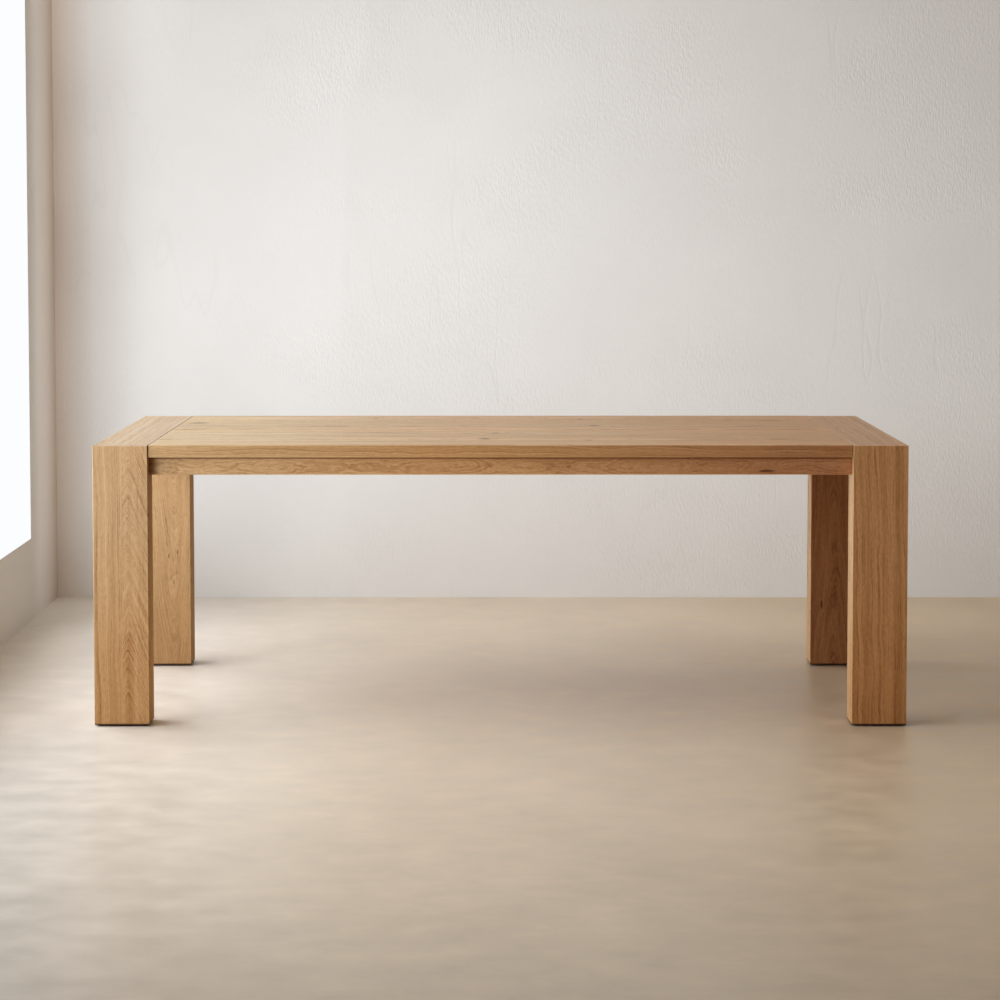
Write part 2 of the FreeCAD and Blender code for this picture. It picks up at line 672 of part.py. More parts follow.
# ---- groups of identical small parts ---------------------------------------------------------------
def small_parts():
    """Loose tenons, dowels, biscuits, inserts, bolts, screws and clips, one group each."""
    lengthwise = [mirrored(shape, side, -1) for side in ENDS.values() for shape in cleat_screws()]
    clips = [mirrored(clip(x), -1, side) for side in LONG_SIDES.values() for x in clip_places()]
    return {
        "leg_top_tenons": at_all_corners(leg_top_tenons()),
        "frame_dowels": at_all_corners(rail_dowels() + apron_dowels()),
        "board_biscuits": [lens for y in seam_places() for lens in seam_biscuits(y)],
        "corner_inserts": at_all_corners([corner_insert()]),
        "corner_washers": at_all_corners([corner_washer()]),
        "corner_bolts": at_all_corners([corner_bolt()]),
        "frame_screws": at_all_corners(block_screws()) + lengthwise,
        "panel_screws": [screw(x, y, z, PANEL_SCREW_LENGTH, UP) for x, y, z in panel_screw_seats()],
        "panel_clips": clips,
        "foot_inserts": at_all_corners([foot_insert()]),
    }


def main():
    pieces = {}
    for make in (legs, end_boards, end_rails, panel_boards, aprons, corner_blocks, cleats, battens, feet):
        pieces.update(make())
    for name, solids in small_parts().items():
        pieces[name] = Part.makeCompound(solids)
    os.makedirs("parts", exist_ok=True)
    for name, shape in pieces.items():
        shape.exportStep("parts/%s.step" % name)
        facts = (name, len(shape.Solids), shape.Volume / 1000, shape.isValid())
        print("%-34s %3d solids %10.1f cm3 valid %s" % facts)


main()
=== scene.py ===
"""Parsons dining table in solid oak: its finishes, the camera and the room it stands in.

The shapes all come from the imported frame. This script gives every board its own cut from a
tree, every fitting its metal, and sets the table on a pale floor in soft light from a window
on the left. Lengths are metres, +Z is up, and the table's front faces -Y.
"""

import math

import bpy
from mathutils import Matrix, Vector


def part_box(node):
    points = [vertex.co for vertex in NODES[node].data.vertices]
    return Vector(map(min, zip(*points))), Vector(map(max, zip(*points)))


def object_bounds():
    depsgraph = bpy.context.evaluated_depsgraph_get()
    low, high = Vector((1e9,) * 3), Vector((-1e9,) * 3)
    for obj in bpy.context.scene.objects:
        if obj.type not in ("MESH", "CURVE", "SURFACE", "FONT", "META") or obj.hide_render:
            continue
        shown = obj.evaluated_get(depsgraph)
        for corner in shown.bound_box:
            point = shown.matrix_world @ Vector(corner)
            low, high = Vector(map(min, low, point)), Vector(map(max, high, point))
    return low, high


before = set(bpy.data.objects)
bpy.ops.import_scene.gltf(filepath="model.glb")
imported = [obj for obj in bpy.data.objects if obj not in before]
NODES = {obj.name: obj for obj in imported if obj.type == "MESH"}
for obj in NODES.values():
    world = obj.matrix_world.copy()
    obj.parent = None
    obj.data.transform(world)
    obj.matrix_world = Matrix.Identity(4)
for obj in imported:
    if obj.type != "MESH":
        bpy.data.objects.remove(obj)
CAD_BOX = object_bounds()

# -------- the table's own measures
TABLE_LOW, TABLE_HIGH = CAD_BOX
LEG_LOW, LEG_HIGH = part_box("front_left_leg_face_board")
LEG_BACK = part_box("front_left_leg_back_board")[1].y
LEG_INNER = -LEG_HIGH.x  # the legs' inner sides, from the middle of the table
LEG_FOOT = LEG_LOW.z
PANEL_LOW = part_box("top_board_1")[0]
PANEL_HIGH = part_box("top_board_7")[1]

# -------- the camera
CAMERA_PLACE = (0.0053, -7.15, 1.3813)
CAMERA_TILT = 0.05798
CAMERA_YAW = 0.0009
CAMERA_ROLL = 0.0003
CAMERA_LENS = 89.20
CAMERA_SENSOR = 36.0
CAMERA_SHIFT = -0.1399

# -------- the room
WALL_Y = 1.781
WALL_END = 12.0
WALL_HEIGHT = 3.4
SIDE_X = -1.6085
SIDE_FRONT = -5.0
SILL_HEIGHT = 0.28
PIER_Y = 1.282
FLOOR_SIDE = 7.5
FLOOR_FRONT = -9.0
# Past these distances from the table the floor starts to clear and has cleared, for the eye.
# It clears nearer at the table's ends, where the distance is stretched.
FLOOR_CLEARS = (3.1, 4.3)
FLOOR_CLEARS_STRETCH = (1.5, 1.0, 0.0)

# The floor's colour is painted light and shade: paler and cooler by the window, darker towards the
# room
FLOOR_BY_WINDOW = (0.705, 0.660, 0.600, 1.0)
FLOOR_MIDDLE = (0.667, 0.570, 0.456, 1.0)
FLOOR_BY_ROOM = (0.637, 0.510, 0.360, 1.0)
FLOOR_FADE = (0.15, 1.25)
SCREED_SPREAD = (8.0, 11.0, 8.0)
SCREED_WASH_SPREAD = (2.2, 1.6, 1.0)
SCREED_CLOUDING = 1.8
SCREED_WASH = 1.2
SCREED_MOTTLE = 0.115
SHEEN_CUT = (0.35, 0.65)
SCREED_SHEEN = (0.34, 0.46)
SCREED_RELIEF = 0.05

WALL_COLOUR = (0.840, 0.852, 0.864)
# The side wall's plaster is a darker, warmer copy of the wall's: painted shade beside the window
SIDE_COLOUR = (0.74, 0.70, 0.65)
# Painted shade in the upright corner by the window, and how far it reaches along each wall
CORNER_SHADE = (0.80, 0.70, 0.62, 1.0)
WALL_CORNER_REACH = 0.14
SIDE_CORNER_REACH = 0.34
CLOUD_SPREAD = (2.6, 2.6, 2.6)
PATCH_SPREAD = (1.9, 1.9, 2.6)
SEAM_PATCH_SPREAD = (2.6, 1.9, 1.9)
BRUSH_SPREAD = (150.0, 150.0, 55.0)
SEAM_SPREAD = (4.5, 4.5, 0.9)
PATCH_CUT = (0.44, 0.60, 0.30, 1.0)
SEAM_PATCH_CUT = (0.56, 0.66)
SEAM_WIDTH = 0.010
PLASTER_CLOUDING = 2.2
BRUSH_TONE = 1.1
SEAM_TONE = -0.5
BRUSH_HEIGHT = 1.2
SEAM_HEIGHT = -0.20
PLASTER_MOTTLE = 0.022
PLASTER_ROUGHNESS = 0.9
PLASTER_RELIEF = 0.35
STONE_BUMP = 0.004
STONE_GLOSS = 0.3

# -------- the light
WINDOW_X = -1.66
WINDOW_SPREAD = math.radians(150)
WINDOW_COLOUR = (1.0, 1.024, 1.054)
WINDOW_TRANSOM = 1.5
WINDOW_HEAD = 3.0
# Each pane: its name, where it starts and ends along Y, and its glow below and above the transom
WINDOW_PANES = (
    ("front", (-3.2, -2.0), 7.9, 3.6),
    ("near", (-2.0, -0.8), 11.6, 4.9),
    ("middle", (-0.8, 0.3), 14.5, 10.8),
    ("far", (0.3, 1.3), 12.2, 6.0),
    ("corner", (1.3, 1.77), 3.3, 6.3),
)
DAYLIGHT = (0.97, 0.985, 1.0, 1.0)
ROOM_TINT = (1.0, 0.833, 0.648)
# What the room throws back: name, place, facing, size, glow and colour
ROOM_LAMPS = (
    ("ceiling", (0.0, -0.75, 3.2), (0.0, 0.0, -1.0), (6.0, 4.5), 1.9, ROOM_TINT),
    ("room_glow", (2.0, 0.9, 0.9), (0.0, 1.0, 0.0), (3.6, 1.1), 0.85, (1.0, 0.98, 0.95)),
    ("corner_glow", (-1.28, 1.45, 1.5), (-0.5, 1.0, 0.0), (0.16, 2.7), 4.0, (1.0, 1.02, 1.05)),
)
HAZE_GLOW = 0.007
BACKDROP_COLOUR = (0.76, 0.74, 0.71)

# -------- how oak grows
# A stretch is how fast a noise runs across the trunk, twice, and along it.
SWAY_STRETCH = (7.0, 7.0, 4.5)
WANDER_STRETCH = (6.0, 6.0, 1.5)
RIPPLE_STRETCH = (38.0, 38.0, 8.0)
JAG_STRETCH = (150.0, 150.0, 62.0)
STREAK_STRETCH = (46.0, 46.0, 0.9)
FIBRE_STRETCH = (330.0, 330.0, 7.0)
PORE_STRETCH = (1500.0, 1500.0, 55.0)
FLECK_STRETCH = (420.0, 420.0, 42.0)
CLOUD_STRETCH = (5.0, 5.0, 1.6)
FADE_STRETCH = (16.0, 16.0, 9.0)
MOTTLE_STRETCH = (260.0, 260.0, 75.0)
KNOT_STRETCH = (160.0, 160.0, 60.0)
WEAR_AND_HIGHLIGHT_STRETCH = (45.0, 45.0, 45.0)

# Rings: the depth of their ripples, and how often and how far lean years crowd them
RIPPLE_DEPTH = 0.0030
LEAN_YEARS = 70.0
LEAN_DEPTH = 0.010
# The dark start of each ring rises and falls over these shares of its width
EARLY_RISE = (0.0, 0.08)
EARLY_FALL = (0.12, 0.50)
# How fast the tone changes from year to year, and within a year
YEAR_PACE = 0.55
LINE_PACE = 2.3
# Where a mark's noise is cut, from none of the mark to all, or from one share of it to another
FADE_CUT = (0.36, 0.62, 0.30, 1.0)
YEAR_CUT = (0.62, 0.38, 0.25, 1.0)
CLOUD_CUT = (0.35, 0.65)
FLECK_CUT = (0.62, 0.74)
PORE_CUT = (0.56, 0.66)
PORE_BAND_CUT = (0.05, 0.7, 0.25, 1.0)
# Between dark oak at 0 and pale oak at 1: the plain tone, and how much each mark moves it
PLAIN_TONE = 0.58
YEAR_TONE = 0.80
LINE_TONE = 0.70
STREAK_TONE = 0.95
FIBRE_TONE = 0.42
MOTTLE_TONE = 0.45
EARLY_TONE = -0.36
# How much of its own colour each mark lays over the wood
FLECK_COVER = 0.34
PORE_COVER = 0.55
END_COVER = 0.45
KNOT_COVER = 0.88
# Worn arrises are paler partly from wear and partly as a painted highlight
WEAR_AND_HIGHLIGHT_COVER = 0.40
# Roughness: of plain wood, and what pores, streaks and wear add to it
PLAIN_ROUGHNESS = 0.46
PORE_ROUGHNESS = 0.25
STREAK_ROUGHNESS = 0.16
WEAR_ROUGHNESS = -0.06
# Relief: how far each mark stands up, as shares of a pore's depth
FIBRE_HEIGHT = 0.35
EARLY_HEIGHT = -0.35
PORE_HEIGHT = -1.0
KNOT_HEIGHT = -0.8
GRAIN_RELIEF = 0.55
GRAIN_DEPTH = 0.00035
# Knots: a ragged rim, and how quickly the rings straighten again away from one
KNOT_RAGGED = 0.9
KNOT_CORE = (0.45, 1.0)
KNOT_BELL = -0.16
# Worn arrises with a painted highlight: how far a noise moves them in and out, and about which of its
# values
WEAR_AND_HIGHLIGHT_BREAK = 0.006
WEAR_AND_HIGHLIGHT_MIDDLE = 0.45
# The cosines between a face and the fibres where end grain starts to show and shows fully
END_GRAIN = (0.75, 0.98)

OAK_DARK = (0.310, 0.160, 0.062, 1.0)
OAK_WARM = (0.470, 0.270, 0.118, 1.0)
OAK_MID = (0.560, 0.350, 0.168, 1.0)
OAK_PALE = (0.665, 0.460, 0.250, 1.0)
OAK_WARM_STOP = 0.33
OAK_MID_STOP = 0.60
CLOUD_WARM = (1.0, 0.985, 0.955, 1.0)
CLOUD_COOL = (0.985, 1.0, 1.03, 1.0)
PORE_BROWN = (0.190, 0.098, 0.042, 1.0)
KNOT_BROWN = (0.130, 0.062, 0.028, 1.0)
WHITE = (1.0, 1.0, 1.0, 1.0)

# -------- tones laid over single boards
# A shade with a share of red, green or blue under DULL_BELOW is painted shade that adds roughness.
DULL_BELOW = 0.6
DULLED_BY = 0.48
# A tone that covers one face only ends this deep under it, and fades out over its soft depth.
SKIN = 0.0004
SKIN_SOFT = 0.0003
THIN_SKIN = 0.0003
THIN_SKIN_SOFT = 0.0002
HEART_BLEND = 0.0015
FOOT_TONE_TOP = 0.60
# Painted shade on the lowest few millimetres of each leg, over the gap above the floor
FOOT_SHADE = (0.16, 0.12, 0.10)
FOOT_SHADE_TOP = 0.0045
FOOT_SHADE_SOFT = 0.0014
# Painted shade on the faces by the window, against the glare they stand in
GLARE_TONE = (0.60, 0.56, 0.50)
END_GLARE_TONE = (0.52, 0.41, 0.29)
# Painted shade on the panel's ends, so that the joints beside them show dark
PANEL_END_SHADE = (0.22, 0.15, 0.11)
# Painted shade on the apron's top, under the panel's overhang
APRON_SHADE = (0.34, 0.24, 0.17)
APRON_SHADE_DEPTH = 0.0085
APRON_SHADE_SOFT = 0.006
# How far painted daylight takes to build up, from the middle of a long board outwards
PAINTED_DAYLIGHT_SPAN = 0.9

# How far up its tree a kind's first board starts, and how far on each next one does
LEG_START = 1.0
LEG_STEP = 3.7
LEG_LAYER_STEP = 1.3
END_BOARD_START = 21.0
END_BOARD_STEP = 1.7
PANEL_START = 31.0
PANEL_STEP = 4.3
APRON_START = 70.0
APRON_STEP = 5.1
RAIL_START = 179.0
BLOCK_START = 180.0
INNER_STEP = 3.1


# -------- drawing node trees
# A Mix node's two colours have the same names as its numbers, so they go by their places.
FIRST_COLOUR = 6
SECOND_COLOUR = 7
MIXED_COLOUR = 2


def join(tree, value, socket):
    """Links value to the socket when it is a socket itself, and otherwise sets it there."""
    if isinstance(value, bpy.types.NodeSocket):
        tree.links.new(value, socket)
    else:
        socket.default_value = value


def node(tree, kind, inputs=None, **settings):
    """Adds a shader node and fills its inputs, given by name or by place."""
    made = tree.nodes.new("ShaderNode" + kind)
    for name, value in settings.items():
        setattr(made, name, value)
    for key, value in (inputs or {}).items():
        join(tree, value, made.inputs[key])
    return made


def calc(tree, operation, *values):
    """One sum on numbers."""
    return node(tree, "Math", dict(enumerate(values)), operation=operation).outputs[0]


def vcalc(tree, operation, *values):
    """One sum on vectors."""
    made = node(tree, "VectorMath", dict(enumerate(values)), operation=operation)
    return made.outputs["Value" if operation in ("LENGTH", "DOT_PRODUCT") else "Vector"]


def swing(tree, noise, depth, base, middle=0.5):
    """Base + depth * (noise - middle): a noise that moves a value both ways."""
    return calc(tree, "MULTIPLY_ADD", calc(tree, "SUBTRACT", noise, middle), depth, base)


def blend(tree, share, first, second, mode="MIX"):
    """Mixes two colours by share."""
    made = node(tree, "Mix", {"Factor": share, FIRST_COLOUR: first, SECOND_COLOUR: second},
                data_type="RGBA", blend_type=mode)
    return made.outputs[MIXED_COLOUR]


def remap(tree, value, low, high, to_low=0.0, to_high=1.0, smooth=True):
    """Takes low..high to to_low..to_high, clamped, with soft ends when smooth."""
    values = {"Value": value, "From Min": low, "From Max": high, "To Min": to_low,
              "To Max": to_high}
    kind = "SMOOTHSTEP" if smooth else "LINEAR"
    return node(tree, "MapRange", values, interpolation_type=kind).outputs[0]


def grain_noise(tree, place, stretch, detail=2.0, rough=0.5):
    """Noise drawn out along the grain: the place is multiplied by stretch before it is read."""
    drawn = vcalc(tree, "MULTIPLY", place, stretch)
    values = {"Vector": drawn, "Scale": 1.0, "Detail": detail, "Roughness": rough}
    return node(tree, "TexNoise", values, noise_dimensions="3D").outputs[0]


def line_noise(tree, value, detail):
    """Noise along one number."""
    values = {"W": value, "Scale": 1.0, "Detail": detail}
    return node(tree, "TexNoise", values, noise_dimensions="1D").outputs[0]


def socket_kind(value):
    """A number makes a float socket, three numbers a vector and four a colour."""
    if isinstance(value, float):
        return "NodeSocketFloat"
    return "NodeSocketVector" if len(value) == 3 else "NodeSocketColor"


def new_group(name, inputs, outputs):
    """A node group with named sockets. Returns it, what comes in and what goes out."""
    group = bpy.data.node_groups.new(name, "ShaderNodeTree")
    for label, value in inputs.items():
        made = group.interface.new_socket(label, in_out="INPUT", socket_type=socket_kind(value))
        made.default_value = value
    for label, value in outputs.items():
        group.interface.new_socket(label, in_out="OUTPUT", socket_type=socket_kind(value))
    inlet = group.nodes.new("NodeGroupInput").outputs
    outlet = group.nodes.new("NodeGroupOutput").inputs
    return group, inlet, outlet


def use_group(tree, group, inputs):
    """Places a group in a tree with its own values and returns its outputs."""
    made = tree.nodes.new("ShaderNodeGroup")
    made.node_tree = group
    for key, value in inputs.items():
        join(tree, value, made.inputs[key])
    return made.outputs


def new_material(name):
    """A material. Returns it, its node tree and its shader."""
    material = bpy.data.materials.new(name)
    material.use_nodes = True
    tree = material.node_tree
    return material, tree, tree.nodes["Principled BSDF"]


def object_place(tree):
    """Where a point lies in its object's own frame."""
    return node(tree, "TexCoord").outputs["Object"]


def coordinate(tree, place, axis):
    """One number of a place: 0 for X, 1 for Y and 2 for Z."""
    return node(tree, "SeparateXYZ", {0: place}).outputs[axis]


# -------- groups that oak shares
# What a group's places are before a material sets them, and what keeps the X and Y of one
ORIGIN = (0.0, 0.0, 0.0)
CORNER = (1.0, 1.0, 1.0)
ACROSS_TRUNK = (1.0, 1.0, 0.0)


def make_lie_group():
    """Fibres that sway: the place moves sideways by a noise drawn out along the trunk."""
    group, inlet, outlet = new_group("oak_lie", {"Tree": ORIGIN, "Sway": 0.01}, {"Tree": ORIGIN})
    spot = inlet["Tree"]
    drawn = vcalc(group, "MULTIPLY", spot, SWAY_STRETCH)
    noise = node(group, "TexNoise", {"Vector": drawn, "Scale": 1.0, "Detail": 2.0})
    sway = vcalc(group, "SUBTRACT", noise.outputs["Color"], (0.5, 0.5, 0.5))
    sway = vcalc(group, "MULTIPLY", sway, ACROSS_TRUNK)
    scaled = node(group, "VectorMath", {0: sway, "Scale": inlet["Sway"]}, operation="SCALE")
    join(group, vcalc(group, "ADD", spot, scaled.outputs["Vector"]), outlet["Tree"])
    return group


def make_ring_group():
    """Growth rings.

    Count = (distance from the pith + taper * height + wander + ripple + jag + bend + lean years)
    / ring width, where wander, ripple, jag and lean years are noises.
    """
    group, inlet, outlet = new_group(
        "oak_rings",
        {"Tree": ORIGIN, "Ring": 0.005, "Taper": 0.0, "Wander": 0.01, "Jag": 0.004, "Bend": 0.0},
        {"Count": 0.0})
    spot = inlet["Tree"]
    across = vcalc(group, "LENGTH", vcalc(group, "MULTIPLY", spot, ACROSS_TRUNK))
    radius = calc(group, "MULTIPLY_ADD", coordinate(group, spot, 2), inlet["Taper"], across)
    radius = swing(group, grain_noise(group, spot, WANDER_STRETCH), inlet["Wander"], radius)
    radius = swing(group, grain_noise(group, spot, RIPPLE_STRETCH, 3.0), RIPPLE_DEPTH, radius)
    radius = swing(group, grain_noise(group, spot, JAG_STRETCH, 3.0, 0.6), inlet["Jag"], radius)
    radius = calc(group, "ADD", radius, inlet["Bend"])
    lean_years = line_noise(group, calc(group, "MULTIPLY", radius, LEAN_YEARS), 2.0)
    radius = calc(group, "MULTIPLY_ADD", lean_years, LEAN_DEPTH, radius)
    join(group, calc(group, "DIVIDE", radius, inlet["Ring"]), outlet["Count"])
    return group


def early_bands(group, count, years, fade):
    """The open-pored dark start of each ring, stronger in some years and fainter in some places."""
    fraction = calc(group, "FRACT", count)
    rise = remap(group, fraction, *EARLY_RISE)
    fall = remap(group, fraction, *EARLY_FALL, 1.0, 0.0)
    strength = calc(group, "MULTIPLY", remap(group, years, *YEAR_CUT), fade)
    return calc(group, "MULTIPLY", calc(group, "MULTIPLY", rise, fall), strength)


def tone_colour(group, spot, tone, contrast):
    """The wood's colour from its tone, spread by contrast, with warmer and cooler clouds."""
    spread = calc(group, "MULTIPLY", calc(group, "SUBTRACT", tone, 0.5), contrast)
    ramp = node(group, "ValToRGB", {0: calc(group, "ADD", spread, 0.5)})
    stops = ramp.color_ramp.elements
    stops[0].color = OAK_DARK
    stops[1].color = OAK_PALE
    stops.new(OAK_WARM_STOP).color = OAK_WARM
    stops.new(OAK_MID_STOP).color = OAK_MID
    cloud = grain_noise(group, spot, CLOUD_STRETCH, 2.0)
    clouds = blend(group, remap(group, cloud, *CLOUD_CUT), CLOUD_WARM, CLOUD_COOL)
    return blend(group, 1.0, ramp.outputs[0], clouds, "MULTIPLY")


def wood_roughness(group, pore, streak, wear_and_highlight):
    """Open pores are rougher, streaks swing it, and worn wood is smoother."""
    rough = calc(group, "MULTIPLY_ADD", pore, PORE_ROUGHNESS, PLAIN_ROUGHNESS)
    rough = swing(group, streak, STREAK_ROUGHNESS, rough)
    return calc(group, "MULTIPLY_ADD", wear_and_highlight, WEAR_ROUGHNESS, rough)


def wood_relief(group, fibre, early, pore, knot):
    """Fibres stand up, and early bands, pores and knots lie deeper."""
    height = calc(group, "MULTIPLY", fibre, FIBRE_HEIGHT)
    for mark, rise in ((early, EARLY_HEIGHT), (pore, PORE_HEIGHT), (knot, KNOT_HEIGHT)):
        height = calc(group, "MULTIPLY_ADD", mark, rise, height)
    return height


def make_wood_group():
    """Oak's colour, roughness and relief from its ring count and its place in the tree.

    Each ring starts with an open-pored dark band and hardens towards a paler one. Rings differ
    from each other, and streaks, fibres and clouds run along the trunk over them.
    """
    group, inlet, outlet = new_group(
        "oak_wood",
        {"Tree": ORIGIN, "Count": 0.0, "Knot": 0.0, "WearAndHighlight": 0.0, "End": 0.0, "Contrast": 1.0,
         "Tint": WHITE},
        {"Color": (0.5, 0.5, 0.5, 1.0), "Roughness": 0.5, "Height": 0.0})
    spot = inlet["Tree"]
    count = inlet["Count"]
    years = line_noise(group, calc(group, "MULTIPLY", count, YEAR_PACE), 2.0)
    lines = line_noise(group, calc(group, "MULTIPLY", count, LINE_PACE), 3.0)
    fade = remap(group, grain_noise(group, spot, FADE_STRETCH, 2.0), *FADE_CUT)
    early = early_bands(group, count, years, fade)
    streak = grain_noise(group, spot, STREAK_STRETCH, 4.0, 0.6)
    fibre = grain_noise(group, spot, FIBRE_STRETCH, 3.0, 0.6)
    mottle = grain_noise(group, spot, MOTTLE_STRETCH, 2.0, 0.6)
    fleck = remap(group, grain_noise(group, spot, FLECK_STRETCH, 1.0), *FLECK_CUT)
    pore = remap(group, grain_noise(group, spot, PORE_STRETCH, 1.0), *PORE_CUT)
    pore = calc(group, "MULTIPLY", pore, remap(group, early, *PORE_BAND_CUT))

    figure = calc(group, "MULTIPLY", calc(group, "SUBTRACT", years, 0.5), fade)
    tone = calc(group, "MULTIPLY_ADD", figure, YEAR_TONE, PLAIN_TONE)
    for noise, depth in ((lines, LINE_TONE), (streak, STREAK_TONE), (fibre, FIBRE_TONE),
                         (mottle, MOTTLE_TONE)):
        tone = swing(group, noise, depth, tone)
    tone = calc(group, "MULTIPLY_ADD", early, EARLY_TONE, tone)
    colour = tone_colour(group, spot, tone, inlet["Contrast"])
    for mark, cover, mark_colour in (
            (fleck, FLECK_COVER, OAK_DARK), (pore, PORE_COVER, PORE_BROWN),
            (inlet["End"], END_COVER, OAK_DARK), (inlet["Knot"], KNOT_COVER, KNOT_BROWN),
            (inlet["WearAndHighlight"], WEAR_AND_HIGHLIGHT_COVER, OAK_PALE)):
        colour = blend(group, calc(group, "MULTIPLY", mark, cover), colour, mark_colour)
    join(group, blend(group, 1.0, colour, inlet["Tint"], "MULTIPLY"), outlet["Color"])
    join(group, wood_roughness(group, pore, streak, inlet["WearAndHighlight"]), outlet["Roughness"])
    join(group, wood_relief(group, fibre, early, pore, inlet["Knot"]), outlet["Height"])
    return group


def make_knot_group():
    """A knot: an oval core, and rings that swerve round it by a bell-shaped bend.

    Distance is measured in reaches from the knot's centre, and the bend is swerve * e to the
    power of (bell * distance * distance).
    """
    group, inlet, outlet = new_group(
        "oak_knot",
        {"Tree": ORIGIN, "Centre": ORIGIN, "Reach": (0.01, 0.01, 0.03), "Swerve": 0.01},
        {"Core": 0.0, "Bend": 0.0})
    offset = vcalc(group, "SUBTRACT", inlet["Tree"], inlet["Centre"])
    distance = vcalc(group, "LENGTH", vcalc(group, "DIVIDE", offset, inlet["Reach"]))
    ragged = grain_noise(group, inlet["Tree"], KNOT_STRETCH)
    distance = swing(group, ragged, KNOT_RAGGED, distance)
    bell = calc(group, "MULTIPLY", calc(group, "MULTIPLY", distance, distance), KNOT_BELL)
    bend = calc(group, "MULTIPLY", calc(group, "EXPONENT", bell), inlet["Swerve"])
    join(group, remap(group, distance, *KNOT_CORE, 1.0, 0.0), outlet["Core"])
    join(group, bend, outlet["Bend"])
    return group


def depth_inside(group, inlet):
    """How deep a place lies inside a box along each axis: the nearer of its two sides."""
    above = vcalc(group, "SUBTRACT", inlet["Place"], inlet["Low"])
    below = vcalc(group, "SUBTRACT", inlet["High"], inlet["Place"])
    return vcalc(group, "MINIMUM", above, below)


def make_wear_and_highlight_group():
    """Worn arrises of a box with a painted highlight: 1 at its edges, fading over Reach, broken up by
    noise.

    The distance to the nearest edge is the middle one of the three distances to the faces.
    """
    group, inlet, outlet = new_group(
        "arris_wear_and_highlight", {"Place": ORIGIN, "Low": ORIGIN, "High": CORNER, "Reach": 0.006},
        {"WearAndHighlight": 0.0})
    nearest = node(group, "SeparateXYZ", {0: depth_inside(group, inlet)}).outputs
    lesser = calc(group, "MINIMUM", nearest[0], nearest[1])
    greater = calc(group, "MAXIMUM", nearest[0], nearest[1])
    middle = calc(group, "MAXIMUM", lesser, calc(group, "MINIMUM", greater, nearest[2]))
    broken = grain_noise(group, inlet["Place"], WEAR_AND_HIGHLIGHT_STRETCH, 3.0)
    middle = swing(group, broken, WEAR_AND_HIGHLIGHT_BREAK, middle, WEAR_AND_HIGHLIGHT_MIDDLE)
    join(group, remap(group, middle, 0.0, inlet["Reach"], 1.0, 0.0), outlet["WearAndHighlight"])
    return group


def make_shade_group():
    """A shade that fills a box: 0 at its sides, and 1 from Soft inwards on every axis."""
    group, inlet, outlet = new_group(
        "recess_shade",
        {"Place": ORIGIN, "Low": ORIGIN, "High": CORNER, "Soft": (0.01, 0.01, 0.01)},
        {"Shade": 0.0})
    inside = vcalc(group, "DIVIDE", depth_inside(group, inlet), inlet["Soft"])
    inside = node(group, "SeparateXYZ", {0: inside}).outputs
    least = calc(group, "MINIMUM", calc(group, "MINIMUM", inside[0], inside[1]), inside[2])
    join(group, remap(group, least, 0.0, 1.0), outlet["Shade"])
    return group


LIE = make_lie_group()
RINGS = make_ring_group()
WOOD = make_wood_group()
KNOT = make_knot_group()
WEAR_AND_HIGHLIGHT = make_wear_and_highlight_group()
SHADE = make_shade_group()


# -------- boards cut from a tree
TURNS = {"X": (0.0, -math.pi / 2, 0.0), "Y": (math.pi / 2, 0.0, 0.0), "Z": (0.0, 0.0, 0.0)}
# Well outside the table
FAR = 9.0
EVERYWHERE = (-FAR, FAR)


def in_tree(point, grain):
    """A point of the table, turned so that the grain runs along the third number."""
    x, y, z = point
    return {"X": (-z, y, x), "Y": (x, -z, y), "Z": (x, y, z)}[grain]


def mark_knots(tree, unswayed, shift, grain, knots):
    """The cores of a board's knots together, and how far they bend its rings."""
    core = 0.0
    bend = 0.0
    for centre, reach, swerve in knots:
        turned = in_tree(centre, grain)
        at = tuple(turned[i] + shift[i] for i in range(3))
        found = use_group(tree, KNOT, {"Tree": unswayed, "Centre": at, "Reach": reach,
                                       "Swerve": swerve})
        core = calc(tree, "MAXIMUM", core, found["Core"])
        bend = calc(tree, "ADD", bend, found["Bend"])
    return core, bend


def add_heart(tree, place, count, rings, heart, to_pith):
    """Past the heart's X the count is that of other rings, round the heart's own pith."""
    moved = vcalc(tree, "SUBTRACT", rings["Tree"], to_pith)
    rings = rings | {"Tree": moved, "Ring": heart["ring"], "Taper": heart["taper"],
                     "Jag": heart["jag"]}
    inner = use_group(tree, RINGS, rings)["Count"]
    start, end = heart["from_x"] - HEART_BLEND, heart["from_x"] + HEART_BLEND
    share = remap(tree, coordinate(tree, place, 0), start, end)
    values = {"Factor": share, "A": count, "B": inner}
    return node(tree, "Mix", values, data_type="FLOAT").outputs[0]


def end_grain(tree, grain):
    """1 where a face looks along the fibres, from the cosine of the angle between them."""
    normal = node(tree, "NewGeometry").outputs["Normal"]
    facing = vcalc(tree, "DOT_PRODUCT", normal, [float(grain == axis) for axis in "XYZ"])
    return remap(tree, calc(tree, "ABSOLUTE", facing), *END_GRAIN)


def board_tint(tree, place, tint, foot_tint, shades):
    """A board's tint with its foot tint and shades, and the deep painted shade among them by itself.
    """
    tone = (*tint, 1.0)
    if foot_tint:
        share = remap(tree, coordinate(tree, place, 2), 0.0, FOOT_TONE_TOP)
        tone = blend(tree, share, (*foot_tint, 1.0), tone)
    deep_shade = 0.0
    for low, high, soft, shade in shades:
        found = use_group(tree, SHADE, {"Place": place, "Low": low, "High": high, "Soft": soft})
        tone = blend(tree, found["Shade"], tone, (*shade, 1.0), "MULTIPLY")
        if min(shade) < DULL_BELOW:
            deep_shade = calc(tree, "MAXIMUM", deep_shade, found["Shade"])
    return tone, deep_shade


